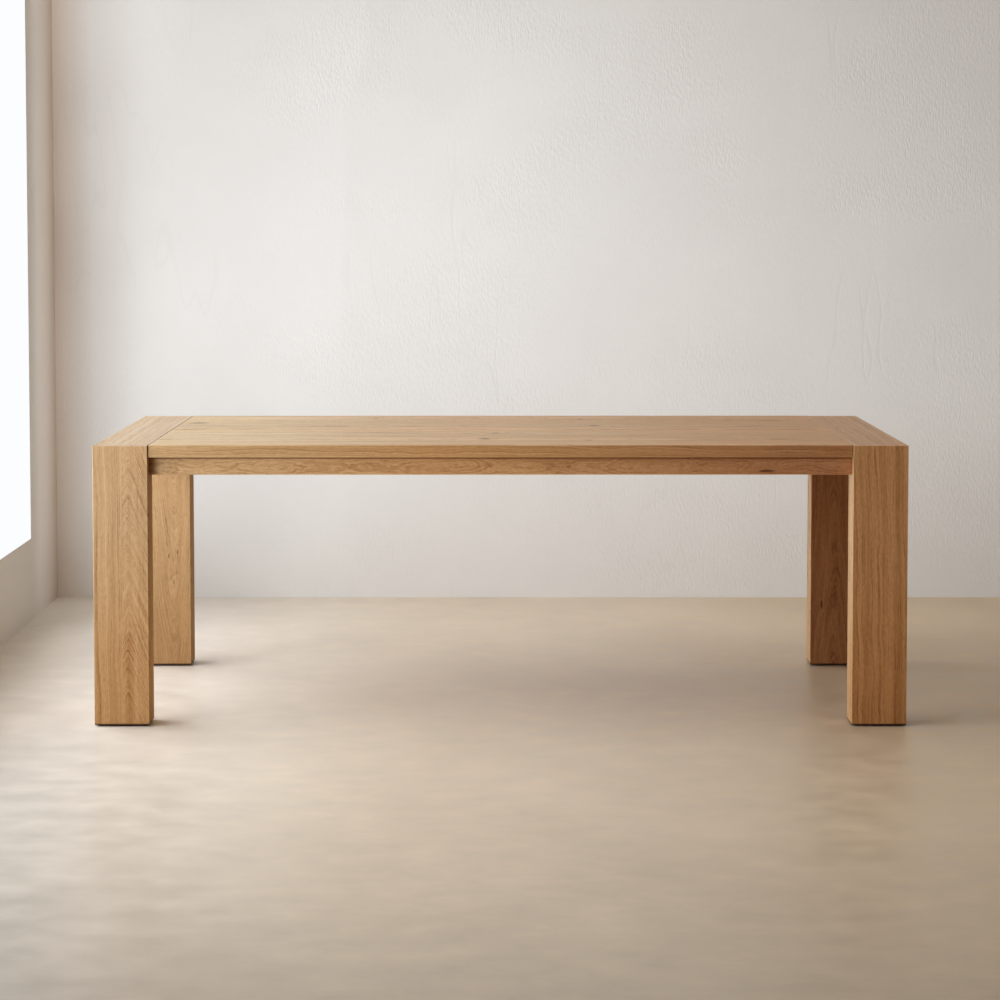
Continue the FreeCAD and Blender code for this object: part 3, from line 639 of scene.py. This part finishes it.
def oak_material(name, grain, pith, start, ring=0.0050, taper=0.0, wander=0.012, jag=0.0042,
                 sway=0.020, heart=None, knots=(), worn=None, contrast=1.0, tint=(1.0, 1.0, 1.0),
                 foot_tint=None, shades=(), gloss=0.42):
    """Oak for one board.

    grain is the axis its fibres follow, pith a point of the table on the tree's middle line, and
    start how far up its tree the board was cut. knots are (centre, reach, swerve), the reach
    two ways across the grain and along it, worn is the box whose arrises are worn and painted
    with a highlight, and shades are made by recess, some of them painted light and shade. Past
    heart's from_x the rings run round its own pith. Towards the floor an upright board takes its
    foot_tint.
    """
    material, tree, shader = new_material(name)
    place = object_place(tree)
    middle = in_tree(pith, grain)
    shift = (-middle[0], -middle[1], start)
    turned = {"Vector": place, "Location": shift, "Rotation": TURNS[grain]}
    unswayed = node(tree, "Mapping", turned).outputs[0]
    spot = use_group(tree, LIE, {"Tree": unswayed, "Sway": sway})["Tree"]
    core, bend = mark_knots(tree, unswayed, shift, grain, knots)
    rings = {"Tree": spot, "Ring": ring, "Taper": taper, "Wander": wander, "Jag": jag,
             "Bend": bend}
    count = use_group(tree, RINGS, rings)["Count"]
    if heart:
        to_pith = Vector(in_tree(heart["pith"], grain)) - Vector(middle)
        count = add_heart(tree, place, count, rings, heart, to_pith)
    wear_and_highlight = 0.0
    if worn:
        low, high = worn
        wear_and_highlight = use_group(tree, WEAR_AND_HIGHLIGHT, {"Place": place, "Low": tuple(low), "High": tuple(high)})[0]
    tone, deep_shade = board_tint(tree, place, tint, foot_tint, shades)
    oak = use_group(tree, WOOD, {"Tree": spot, "Count": count, "Knot": core, "WearAndHighlight": wear_and_highlight,
                                 "End": end_grain(tree, grain), "Contrast": contrast,
                                 "Tint": tone})
    rough = calc(tree, "MULTIPLY_ADD", deep_shade, DULLED_BY, oak["Roughness"])
    bump = node(tree, "Bump", {"Height": oak["Height"], "Strength": GRAIN_RELIEF,
                               "Distance": GRAIN_DEPTH})
    join(tree, oak["Color"], shader.inputs["Base Color"])
    join(tree, rough, shader.inputs["Roughness"])
    join(tree, bump.outputs[0], shader.inputs["Normal"])
    shader.inputs["Specular IOR Level"].default_value = gloss
    return material


def recess(tone, soft, x=EVERYWHERE, y=EVERYWHERE, z=EVERYWHERE):
    """A shade with its tone, in a box between two places on each axis, given in any order.

    soft is how far the shade takes to build up inwards, as one length or one for each axis.
    """
    spans = (x, y, z)
    soft = soft if isinstance(soft, tuple) else (soft, soft, soft)
    return tuple(min(span) for span in spans), tuple(max(span) for span in spans), soft, tone


def painted_daylight(reach_y, window_tone, room_tone):
    """Painted light along a long board: one tone grows towards the window's end, another towards the
    room's.
    """
    soft = (PAINTED_DAYLIGHT_SPAN, SKIN_SOFT, PAINTED_DAYLIGHT_SPAN)
    return [recess(tone, soft, x=(sign * FAR, 0.0), y=(-FAR, reach_y))
            for sign, tone in ((-1, window_tone), (1, room_tone))]


def glare_shade(tone=GLARE_TONE, face_x=TABLE_LOW.x):
    """The outer face on the window's side, darkened by painted shade against the glare it stands in.
    """
    return recess(tone, SKIN_SOFT, x=(-FAR, face_x + SKIN))


def dress(node_name, material):
    """Gives a CAD node one material in every slot."""
    mesh = NODES[node_name].data
    mesh.materials.clear()
    mesh.materials.append(material)


# -------- the legs
PIN_KNOT_DEEP = 0.02
PIN_KNOT_SWERVE = 0.006
UNSEEN_PITH_AWAY = 0.05
UNSEEN_PITH_STEP = 0.03


def leg_box(left, front):
    """The lowest and highest corner of one leg."""
    x0, x1 = (TABLE_LOW.x, -LEG_INNER) if left else (LEG_INNER, TABLE_HIGH.x)
    y0, y1 = (TABLE_LOW.y, LEG_BACK) if front else (-LEG_BACK, TABLE_HIGH.y)
    return Vector((x0, y0, LEG_FOOT)), Vector((x1, y1, TABLE_HIGH.z))


def pin_knots(places, face_y, wide, tall):
    """Small knots that come out of a leg's front at these X and Z."""
    return [((x, face_y, z), (wide, PIN_KNOT_DEEP, tall), PIN_KNOT_SWERVE) for x, z in places]


def front_left_figure(face_y):
    """Nested arches with a pith of their own on the inner half, and straight grain beside them."""
    return dict(
        pith=(-1.322, face_y - 0.02, 0.0), taper=0.004,
        heart=dict(from_x=-1.0225, pith=(-1.0065, face_y + 0.004, 0.0), ring=0.0060, taper=0.40,
                   jag=0.0095),
        contrast=1.15, tint=(0.95, 0.94, 0.94), foot_tint=(1.07, 0.965, 0.81),
        shades=(recess((0.84, 0.74, 0.64), 0.022, x=(-1.024, -0.984), z=(-0.05, 0.26)),),
    )


def front_right_figure(face_y):
    """Wavy streaks, with two darker bands that run up the leg, and a warm tint of painted light."""
    return dict(
        pith=(0.86, face_y + 0.06, 0.0), ring=0.0040, taper=0.014, wander=0.026, jag=0.0045,
        sway=0.028, contrast=1.45, tint=(1.21, 0.97, 0.81), foot_tint=(1.07, 0.80, 0.60),
        shades=(recess((0.84, 0.80, 0.76), 0.009, x=(1.060, 1.090)),
                recess((0.91, 0.88, 0.85), 0.009, x=(0.982, 1.004))),
    )


def back_left_figure(face_y):
    """Narrow Vs, with three pin knots."""
    return dict(
        pith=(-1.002, face_y + 0.016, 0.0), ring=0.0030, taper=-0.11, jag=0.0056,
        tint=(0.89, 0.90, 0.88), foot_tint=(0.91, 0.85, 0.75),
        knots=pin_knots(((-0.992, 0.352), (-1.018, 0.340), (-1.003, 0.258)), face_y,
                        wide=0.0022, tall=0.011),
    )


def back_right_figure(face_y):
    """Tall arches and one long knot, on a board darkened by painted shade."""
    return dict(
        pith=(1.024, face_y + 0.018, 0.0), ring=0.0042, taper=0.10, jag=0.0052,
        contrast=1.6, tint=(0.66, 0.43, 0.32), foot_tint=(0.68, 0.45, 0.33),
        knots=pin_knots(((0.986, 0.189),), face_y, wide=0.004, tall=0.018),
    )


# Each leg: how the board that looks forward is cut, and the painted light and shade on its inner
# side.
# The grain stands upright. A positive taper stacks arches up the leg, a negative one Vs.
LEGS = (
    ("front_left", front_left_figure, (0.95, 0.83, 0.59)),
    ("front_right", front_right_figure, (0.91, 1.11, 1.26)),
    ("back_left", back_left_figure, (0.90, 0.80, 0.59)),
    ("back_right", back_right_figure, (1.42, 2.04, 2.50)),
)


def leg_shades(left, side_light_and_shade):
    """Painted light and shade on a leg's inner side, and painted shade round its foot and by the
    window.
    """
    sign = -1.0 if left else 1.0
    side_x = (sign * (LEG_INNER + THIN_SKIN), -sign * FAR)
    return (recess(side_light_and_shade, THIN_SKIN_SOFT, x=side_x),
            recess(FOOT_SHADE, FOOT_SHADE_SOFT, z=(-FAR, LEG_FOOT + FOOT_SHADE_TOP)),
            glare_shade())


def unseen_cut(step, low, high):
    """A plainer cut for the boards that don't look forward.

    The pith lies in front of the leg for a face board, and behind it for the others.
    """
    pith_y = high.y + UNSEEN_PITH_AWAY if step else low.y - UNSEEN_PITH_AWAY
    pith = ((low.x + high.x) / 2 + UNSEEN_PITH_STEP * step, pith_y, 0.0)
    return dict(pith=pith, ring=0.0052, taper=0.03, heart=None, knots=())


def finish_legs():
    """Four legs of three boards each, with the grain upright.

    The face board looks forward on the front legs, and the back board on the back legs.
    """
    for order, (corner, cut_face, side_light_and_shade) in enumerate(LEGS):
        front = corner.startswith("front")
        left = corner.endswith("left")
        low, high = leg_box(left, front)
        figure = cut_face(TABLE_LOW.y if front else -LEG_BACK)
        figure["shades"] = (*figure.get("shades", ()), *leg_shades(left, side_light_and_shade))
        seen = "face" if front else "back"
        for step, layer in enumerate(("face", "core", "back")):
            name = f"{corner}_leg_{layer}_board"
            cut = figure if layer == seen else figure | unseen_cut(step, low, high)
            start = LEG_START + LEG_STEP * order + LEG_LAYER_STEP * step
            dress(name, oak_material(name, "Z", start=start, worn=(low, high), **cut))


# -------- the top
# Painted light: the left end board is tinted cooler, the right one darker and warmer
END_BOARD_TINTS = {"left": (0.865, 1.00, 1.27), "right": (0.855, 0.73, 0.66)}
END_BOARD_CONTRASTS = {"left": 1.35, "right": 1.8}
END_BOARD_PITH_X = 1.30
END_BOARD_PITH_RISE = 0.05


def seam_strip(sign, start, end, soft, tone):
    """A strip along the joint with the panel, from start to end outwards of the legs' sides."""
    return recess(tone, soft, x=(sign * (LEG_INNER + start), sign * (LEG_INNER + end)))


def seam_shades(side, sign):
    """Painted shade along the joint with the panel, and on the right a painted highlight beside it.
    """
    if side == "left":
        return (seam_strip(sign, -1.0, 0.0020, 0.0008, (0.17, 0.11, 0.08)),
                glare_shade(END_GLARE_TONE))
    return (seam_strip(sign, -1.0, 0.0014, 0.0008, (0.70, 0.64, 0.60)),
            seam_strip(sign, 0.0020, 0.0080, 0.0022, (1.30, 1.34, 1.42)))


def finish_end_boards():
    """The two boards across the ends of the top, with the grain from front to back."""
    for side, sign in (("left", -1), ("right", 1)):
        name = f"{side}_end_board"
        low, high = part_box(name)
        pith = (sign * END_BOARD_PITH_X, 0.0, high.z + END_BOARD_PITH_RISE)
        start = END_BOARD_START + sign * END_BOARD_STEP
        worn = (Vector((low.x, low.y, LEG_FOOT)), high)
        dress(name, oak_material(
            name, "Y", pith, start, ring=0.0046, taper=0.010, jag=0.0060, sway=0.030, worn=worn,
            contrast=END_BOARD_CONTRASTS[side], tint=END_BOARD_TINTS[side],
            shades=seam_shades(side, sign), gloss=0.62))


# The panel's knots: X, Y and how long each is
PANEL_KNOTS = (
    (0.240, 0.368, 0.017), (-0.380, 0.396, 0.014), (0.276, 0.136, 0.020),
    (-0.014, -0.112, 0.017), (-0.044, -0.296, 0.020), (0.244, -0.352, 0.016),
    (-0.900, 0.224, 0.034),
)
# The tints of the panel's boards, from the front
PANEL_TINTS = (
    (0.95, 0.93, 0.88), (0.92, 0.92, 0.88), (0.88, 0.89, 0.87), (0.97, 0.93, 0.87),
    (0.88, 0.88, 0.87), (0.88, 0.85, 0.78), (0.97, 0.93, 0.89),
)
FRONT_BOARD = 1
BACK_BOARD = 7
BACK_STRIP_Y = 0.455
# How far the pith lies below a board and to a side, and how much the depth changes
PANEL_PITH_BELOW = 0.055
PANEL_PITH_ASIDE = 0.03
PANEL_PITH_SWING = 0.012
FRONT_PITH_BEHIND = 0.008


def panel_shades():
    """What all boards of the panel share: painted shade on their ends, and painted light along them.
    """
    ends = PANEL_HIGH.x - THIN_SKIN
    deep_shade = [recess(PANEL_END_SHADE, THIN_SKIN_SOFT, x=(sign * ends, sign * FAR))
            for sign in (-1, 1)]
    return deep_shade + painted_daylight(FAR, (1.01, 1.18, 1.38), (0.99, 0.83, 0.63))


def front_edge_shades():
    """Painted light on the panel's front edge: warmer than its face, and its own gradient along it.
    """
    edge_y = PANEL_LOW.y + SKIN
    return [recess((1.11, 0.96, 0.765), SKIN_SOFT, y=(-FAR, edge_y)),
            *painted_daylight(edge_y, (0.885, 0.865, 0.865), (0.955, 1.01, 1.40))]


def back_strip_shades():
    """The panel's last few centimetres at the back are a little darker."""
    return [recess((0.90, 0.87, 0.84), 0.012, y=(BACK_STRIP_Y, FAR))]


def panel_pith(number, low, high):
    """A board's pith: below it, at a depth and to a side that change like waves with its number.

    The front board's lies just behind its front edge, so that the edge shows straight lines.
    """
    pith_y = (low.y + high.y) / 2 + PANEL_PITH_ASIDE * math.sin(number * 2.3)
    if number == FRONT_BOARD:
        pith_y = low.y + FRONT_PITH_BEHIND
    return 0.0, pith_y, high.z - PANEL_PITH_BELOW - PANEL_PITH_SWING * math.cos(number * 1.7)


def finish_panel():
    """Seven boards of the top, each from another tree."""
    shades = panel_shades()
    own_shades = {FRONT_BOARD: front_edge_shades(), BACK_BOARD: back_strip_shades()}
    for number, tint in enumerate(PANEL_TINTS, start=1):
        name = f"top_board_{number}"
        low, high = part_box(name)
        knots = [((x, y, high.z), (0.04, 1.1 * long, long), 0.012)
                 for x, y, long in PANEL_KNOTS if low.y < y < high.y]
        figure = dict(wander=0.022, jag=0.0050, contrast=2.0)
        if number == FRONT_BOARD:
            figure = dict(jag=0.0032, contrast=1.25)
        dress(name, oak_material(
            name, "X", panel_pith(number, low, high), PANEL_START + PANEL_STEP * number,
            ring=0.0040, taper=0.012, sway=0.030, knots=knots, worn=(PANEL_LOW, PANEL_HIGH),
            tint=tint, shades=shades + own_shades.get(number, []), gloss=0.72, **figure))


# -------- aprons and inner parts
APRON_KNOT_X = 0.722
APRON_KNOT_Z = 0.693
APRON_PITH_Z = 0.705
APRON_PITH_BEHIND = 0.02
# The pith of a part underneath, from its middle
INNER_PITH = (0.05, 0.04, -0.06)


def apron_shades(high):
    """Painted shade under the panel and in the corners by the legs, and painted light along the
    length.
    """
    under = recess(APRON_SHADE, APRON_SHADE_SOFT, z=(high.z - APRON_SHADE_DEPTH, FAR))
    corners = [recess(tone, reach, x=(sign * (high.x - reach), sign * FAR))
               for sign, reach, tone in ((-1, 0.034, (0.43, 0.28, 0.19)),
                                         (1, 0.008, (0.75, 0.70, 0.66)))]
    return [under, *corners, *painted_daylight(FAR, (0.91, 1.04, 1.18), (0.88, 0.73, 0.73))]


def finish_aprons():
    """The front and back aprons under the panel, with the pith inside the table."""
    for order, side in enumerate(("front", "back")):
        name = f"{side}_apron"
        low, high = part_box(name)
        pith_y = high.y + APRON_PITH_BEHIND if side == "front" else low.y - APRON_PITH_BEHIND
        knot = ((APRON_KNOT_X, low.y, APRON_KNOT_Z), (0.0055, 0.03, 0.024), 0.010)
        # The apron's tint is paler than plain oak: painted light against the panel's shade above it
        dress(name, oak_material(
            name, "X", (0.0, pith_y, APRON_PITH_Z), APRON_START + APRON_STEP * order,
            ring=0.0027, wander=0.014, sway=0.030, knots=[knot], worn=(low, high), contrast=1.2,
            tint=(1.22, 1.08, 0.97), shades=apron_shades(high)))


CROSS_PARTS = (
    "left_outer_end_rail", "left_inner_end_rail", "right_outer_end_rail",
    "right_inner_end_rail", "left_cleat", "right_cleat", "left_batten", "middle_batten",
    "right_batten",
)


def finish_inner_part(name, grain, start):
    """Plainer oak for a part underneath. Only the rail on the window's side gets painted shade for
    glare.
    """
    low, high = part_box(name)
    middle = (low + high) / 2
    pith = tuple(middle[i] + INNER_PITH[i] for i in range(3))
    shades = (glare_shade(face_x=low.x),) if name == "left_outer_end_rail" else ()
    dress(name, oak_material(name, grain, pith, start, ring=0.0040, wander=0.010, contrast=0.9,
                             tint=(0.96, 0.96, 0.95), shades=shades))


def finish_inner_parts():
    """Rails, cleats and battens with the grain from front to back, and upright corner blocks."""
    for order, name in enumerate(CROSS_PARTS):
        finish_inner_part(name, "Y", RAIL_START + INNER_STEP * order)
    blocks = [name for name in NODES if name.endswith("_corner_block")]
    for order, name in enumerate(blocks):
        finish_inner_part(name, "Z", BLOCK_START + INNER_STEP * order)


# -------- metal, beech and nylon
# Each finish: its name, colour, metal or not, roughness, how fine its noise is and how far that
# swings the colour, and what the names of its nodes end with
FITTING_FINISHES = (
    ("beech_joinery", (0.62, 0.45, 0.30), 0.0, 0.6, 90.0, 0.15,
     ("_tenons", "_dowels", "_biscuits")),
    ("zinc_steel", (0.62, 0.63, 0.65), 1.0, 0.34, 260.0, 0.10,
     ("_bolts", "_washers", "_clips", "_foot_screw")),
    ("yellow_zinc_screws", (0.62, 0.50, 0.26), 1.0, 0.36, 260.0, 0.12, ("_screws",)),
    ("insert_brass", (0.72, 0.52, 0.22), 1.0, 0.38, 220.0, 0.12, ("_inserts",)),
    ("foot_nylon", (0.035, 0.033, 0.031), 0.0, 0.55, 400.0, 0.25, ("_foot_pad",)),
)


def plain_material(name, colour, metallic, rough, scale, spread):
    """A worked surface: its colour and roughness vary with a fine noise, which also lifts it."""
    material, tree, shader = new_material(name)
    noise = grain_noise(tree, object_place(tree), (scale, scale, scale), 4.0, 0.6)
    darker = (*(c * (1.0 - spread) for c in colour), 1.0)
    paler = (*(min(1.0, c * (1.0 + spread)) for c in colour), 1.0)
    share = remap(tree, noise, 0.3, 0.7)
    roughness = remap(tree, noise, 0.3, 0.7, rough * 0.8, rough * 1.2)
    bump = node(tree, "Bump", {"Height": noise, "Strength": 0.3, "Distance": 0.0002})
    join(tree, blend(tree, share, darker, paler), shader.inputs["Base Color"])
    join(tree, roughness, shader.inputs["Roughness"])
    join(tree, bump.outputs[0], shader.inputs["Normal"])
    shader.inputs["Metallic"].default_value = metallic
    return material


def finish_fittings():
    """Joinery and hardware, most of it hidden in the wood."""
    for *finish, endings in FITTING_FINISHES:
        material = plain_material(*finish)
        for name in NODES:
            if name.endswith(endings):
                dress(name, material)


# -------- the room
def flat_piece(name, corners, material):
    """One flat face of the room."""
    mesh = bpy.data.meshes.new(name)
    mesh.from_pydata(corners, [], [tuple(range(len(corners)))])
    mesh.materials.append(material)
    made = bpy.data.objects.new(name, mesh)
    bpy.context.scene.collection.objects.link(made)
    return made


def finish_stone(tree, shader, colour, tone, mottle, rough, height, relief):
    """A dull mineral surface: tone swings its colour by mottle, and height lifts it."""
    mottled = vcalc(tree, "MULTIPLY", colour, swing(tree, tone, 2.0 * mottle, 1.0))
    bump = node(tree, "Bump", {"Height": height, "Strength": relief, "Distance": STONE_BUMP})
    join(tree, mottled, shader.inputs["Base Color"])
    join(tree, bump.outputs[0], shader.inputs["Normal"])
    join(tree, rough, shader.inputs["Roughness"])
    shader.inputs["Specular IOR Level"].default_value = STONE_GLOSS


def brush_marks(tree, place):
    """Fine brush marks about 0, stronger in some patches."""
    marks = calc(tree, "SUBTRACT", grain_noise(tree, place, BRUSH_SPREAD, 2.0, 0.6), 0.5)
    patch = remap(tree, grain_noise(tree, place, PATCH_SPREAD, 3.0), *PATCH_CUT)
    return calc(tree, "MULTIPLY", marks, patch)


def trowel_seams(tree, place):
    """A few long seams: thin lines where a noise passes its middle, in some patches only."""
    seam = calc(tree, "SUBTRACT", grain_noise(tree, place, SEAM_SPREAD), 0.5)
    seam = remap(tree, calc(tree, "ABSOLUTE", seam), 0.0, SEAM_WIDTH, 1.0, 0.0)
    some = remap(tree, grain_noise(tree, place, SEAM_PATCH_SPREAD, 1.0), *SEAM_PATCH_CUT)
    return calc(tree, "MULTIPLY", seam, some)


def shade_corner(tree, place, colour, reach):
    """A colour darkened by painted shade in the upright corner by the window, over reach from it."""
    from_corner = vcalc(tree, "SUBTRACT", place, (SIDE_X, WALL_Y, 0.0))
    from_corner = vcalc(tree, "LENGTH", vcalc(tree, "MULTIPLY", from_corner, (1.0, 1.0, 0.0)))
    open_wall = remap(tree, from_corner, 0.0, reach, smooth=False)
    return blend(tree, 1.0, (*colour, 1.0), blend(tree, open_wall, CORNER_SHADE, WHITE), "MULTIPLY")


def plaster_material(name, colour, corner_reach):
    """Limewashed plaster: clouds, brushed patches, a few long trowel seams and painted corner shade.
    """
    material, tree, shader = new_material(name)
    place = object_place(tree)
    cloud = grain_noise(tree, place, CLOUD_SPREAD, 6.0, 0.62)
    brush = brush_marks(tree, place)
    seam = trowel_seams(tree, place)
    tone = swing(tree, cloud, PLASTER_CLOUDING, 0.5)
    tone = calc(tree, "MULTIPLY_ADD", brush, BRUSH_TONE, tone)
    tone = calc(tree, "MULTIPLY_ADD", seam, SEAM_TONE, tone)
    height = calc(tree, "MULTIPLY", brush, BRUSH_HEIGHT)
    height = calc(tree, "MULTIPLY_ADD", seam, SEAM_HEIGHT, height)
    height = calc(tree, "ADD", height, cloud)
    colour = shade_corner(tree, place, colour, corner_reach)
    finish_stone(tree, shader, colour, tone, PLASTER_MOTTLE, PLASTER_ROUGHNESS, height,
                 PLASTER_RELIEF)
    return open_from_behind(material)


def screed_material():
    """A sealed floor screed: soft clouds change tone and sheen; painted light and shade run across
    it.
    """
    material, tree, shader = new_material("floor_screed")
    place = object_place(tree)
    cloud = grain_noise(tree, place, SCREED_SPREAD, 6.0, 0.60)
    wash = grain_noise(tree, place, SCREED_WASH_SPREAD, 4.0, 0.55)
    tone = swing(tree, wash, SCREED_WASH, swing(tree, cloud, SCREED_CLOUDING, 0.5))
    rough = remap(tree, cloud, *SHEEN_CUT, *SCREED_SHEEN)
    # Painted light and shade: the floor is paler towards the window and darker towards the room
    across = coordinate(tree, place, 0)
    near, far = FLOOR_FADE
    colour = blend(tree, remap(tree, across, -near, -far), FLOOR_MIDDLE, FLOOR_BY_WINDOW)
    colour = blend(tree, remap(tree, across, near, far), colour, FLOOR_BY_ROOM)
    finish_stone(tree, shader, colour, tone, SCREED_MOTTLE, rough, cloud, SCREED_RELIEF)
    from_table = vcalc(tree, "LENGTH", vcalc(tree, "MULTIPLY", place, FLOOR_CLEARS_STRETCH))
    cleared = calc(tree, "MAXIMUM", from_behind(tree), remap(tree, from_table, *FLOOR_CLEARS))
    return clear_to_the_eye(material, cleared)


def from_behind(tree):
    """1 where a face is seen from its back."""
    return node(tree, "NewGeometry").outputs["Backfacing"]


def clear_to_the_eye(material, share):
    """Lets the eye through a share of a surface, while light still meets all of it."""
    tree = material.node_tree
    share = calc(tree, "MULTIPLY", share, node(tree, "LightPath").outputs["Is Camera Ray"])
    clear = node(tree, "BsdfTransparent").outputs[0]
    solid = tree.nodes["Principled BSDF"].outputs[0]
    mixed = node(tree, "MixShader", {0: share, 1: solid, 2: clear})
    tree.links.new(mixed.outputs[0], tree.nodes["Material Output"].inputs["Surface"])
    return material


def open_from_behind(material):
    """Lets the eye look into the room through a wall's back."""
    return clear_to_the_eye(material, from_behind(material.node_tree))


def daylight_material():
    """The white daylight that the eye sees in the window."""
    material, _, shader = new_material("window_daylight")
    shader.inputs["Base Color"].default_value = (0.0, 0.0, 0.0, 1.0)
    shader.inputs["Specular IOR Level"].default_value = 0.0
    shader.inputs["Emission Color"].default_value = DAYLIGHT
    shader.inputs["Emission Strength"].default_value = 1.0
    return open_from_behind(material)


def side_piece(name, y0, y1, z0, z1, material):
    """An upright face of the side wall, looking into the room. The lamps behind shine through."""
    made = flat_piece(name, [(SIDE_X, y0, z0), (SIDE_X, y1, z0), (SIDE_X, y1, z1),
                             (SIDE_X, y0, z1)], material)
    made.visible_shadow = False
    return made


def make_room():
    """A pale floor, a wall behind the table and a side wall with a tall window."""
    flat_piece("floor", [(SIDE_X, FLOOR_FRONT, 0.0), (FLOOR_SIDE, FLOOR_FRONT, 0.0),
                         (FLOOR_SIDE, WALL_Y, 0.0), (SIDE_X, WALL_Y, 0.0)], screed_material())
    flat_piece("wall", [(SIDE_X, WALL_Y, 0.0), (WALL_END, WALL_Y, 0.0),
                        (WALL_END, WALL_Y, WALL_HEIGHT), (SIDE_X, WALL_Y, WALL_HEIGHT)],
               plaster_material("wall_plaster", WALL_COLOUR, WALL_CORNER_REACH))
    plaster = plaster_material("side_plaster", SIDE_COLOUR, SIDE_CORNER_REACH)
    side_piece("window_pier", PIER_Y, WALL_Y, 0.0, WALL_HEIGHT, plaster)
    side_piece("window_apron", SIDE_FRONT, PIER_Y, 0.0, SILL_HEIGHT, plaster)
    glass = side_piece("window_glass", SIDE_FRONT, PIER_Y, SILL_HEIGHT, WALL_HEIGHT,
                       daylight_material())
    glass.visible_diffuse = False
    glass.visible_glossy = False


# -------- light and camera
def soft_panel(name, place, facing, size, glow, colour, spread=math.pi):
    """A glowing rectangle: glow is watts for each square metre of it."""
    lamp = bpy.data.lights.new(name, "AREA")
    lamp.shape = "RECTANGLE"
    lamp.size, lamp.size_y = size
    lamp.energy = glow * size[0] * size[1]
    lamp.color = colour
    lamp.spread = spread
    panel = bpy.data.objects.new(name, lamp)
    panel.location = place
    panel.rotation_euler = Vector(facing).to_track_quat("-Z", "Y").to_euler()
    panel.visible_camera = False
    bpy.context.scene.collection.objects.link(panel)


def make_window_light():
    """Daylight from the tall window, pane by pane, below and above its transom."""
    for pane, span, low_glow, high_glow in WINDOW_PANES:
        rises = (("low", (SILL_HEIGHT, WINDOW_TRANSOM), low_glow),
                 ("high", (WINDOW_TRANSOM, WINDOW_HEAD), high_glow))
        for row, rise, glow in rises:
            place = (WINDOW_X, sum(span) / 2, sum(rise) / 2)
            size = (span[1] - span[0], rise[1] - rise[0])
            soft_panel(f"window_{pane}_{row}", place, (1.0, 0.0, 0.0), size, glow,
                       WINDOW_COLOUR, WINDOW_SPREAD)


def make_room_light():
    """A pale ceiling, a glow on the wall and one in the corner by the window."""
    for lamp in ROOM_LAMPS:
        soft_panel(*lamp)
    bpy.context.scene.view_settings.view_transform = "Standard"


def make_backdrop():
    """A faint haze lights the room from all round, and past the floor the eye meets a pale ground."""
    world = bpy.data.worlds.new("room_glow")
    bpy.context.scene.world = world
    world.use_nodes = True
    tree = world.node_tree
    haze = tree.nodes["Background"]
    haze.inputs["Color"].default_value = (*ROOM_TINT, 1.0)
    haze.inputs["Strength"].default_value = HAZE_GLOW
    seen = node(tree, "Background", {"Color": (*BACKDROP_COLOUR, 1.0), "Strength": 1.0})
    direct = node(tree, "LightPath").outputs["Is Camera Ray"]
    both = node(tree, "MixShader", {0: direct, 1: haze.outputs[0], 2: seen.outputs[0]})
    tree.links.new(both.outputs[0], tree.nodes["World Output"].inputs["Surface"])


def make_camera():
    """A long lens at standing height in front of the table, tilted down a little."""
    lens = bpy.data.cameras.new("camera")
    lens.lens = CAMERA_LENS
    lens.sensor_width = CAMERA_SENSOR
    lens.shift_y = CAMERA_SHIFT
    camera = bpy.data.objects.new("camera", lens)
    camera.location = CAMERA_PLACE
    camera.rotation_euler = (math.pi / 2 - CAMERA_TILT, CAMERA_ROLL, CAMERA_YAW)
    bpy.context.scene.collection.objects.link(camera)
    bpy.context.scene.camera = camera


finish_legs()
finish_end_boards()
finish_panel()
finish_aprons()
finish_inner_parts()
finish_fittings()
make_room()
make_window_light()
make_room_light()
make_backdrop()
make_camera()
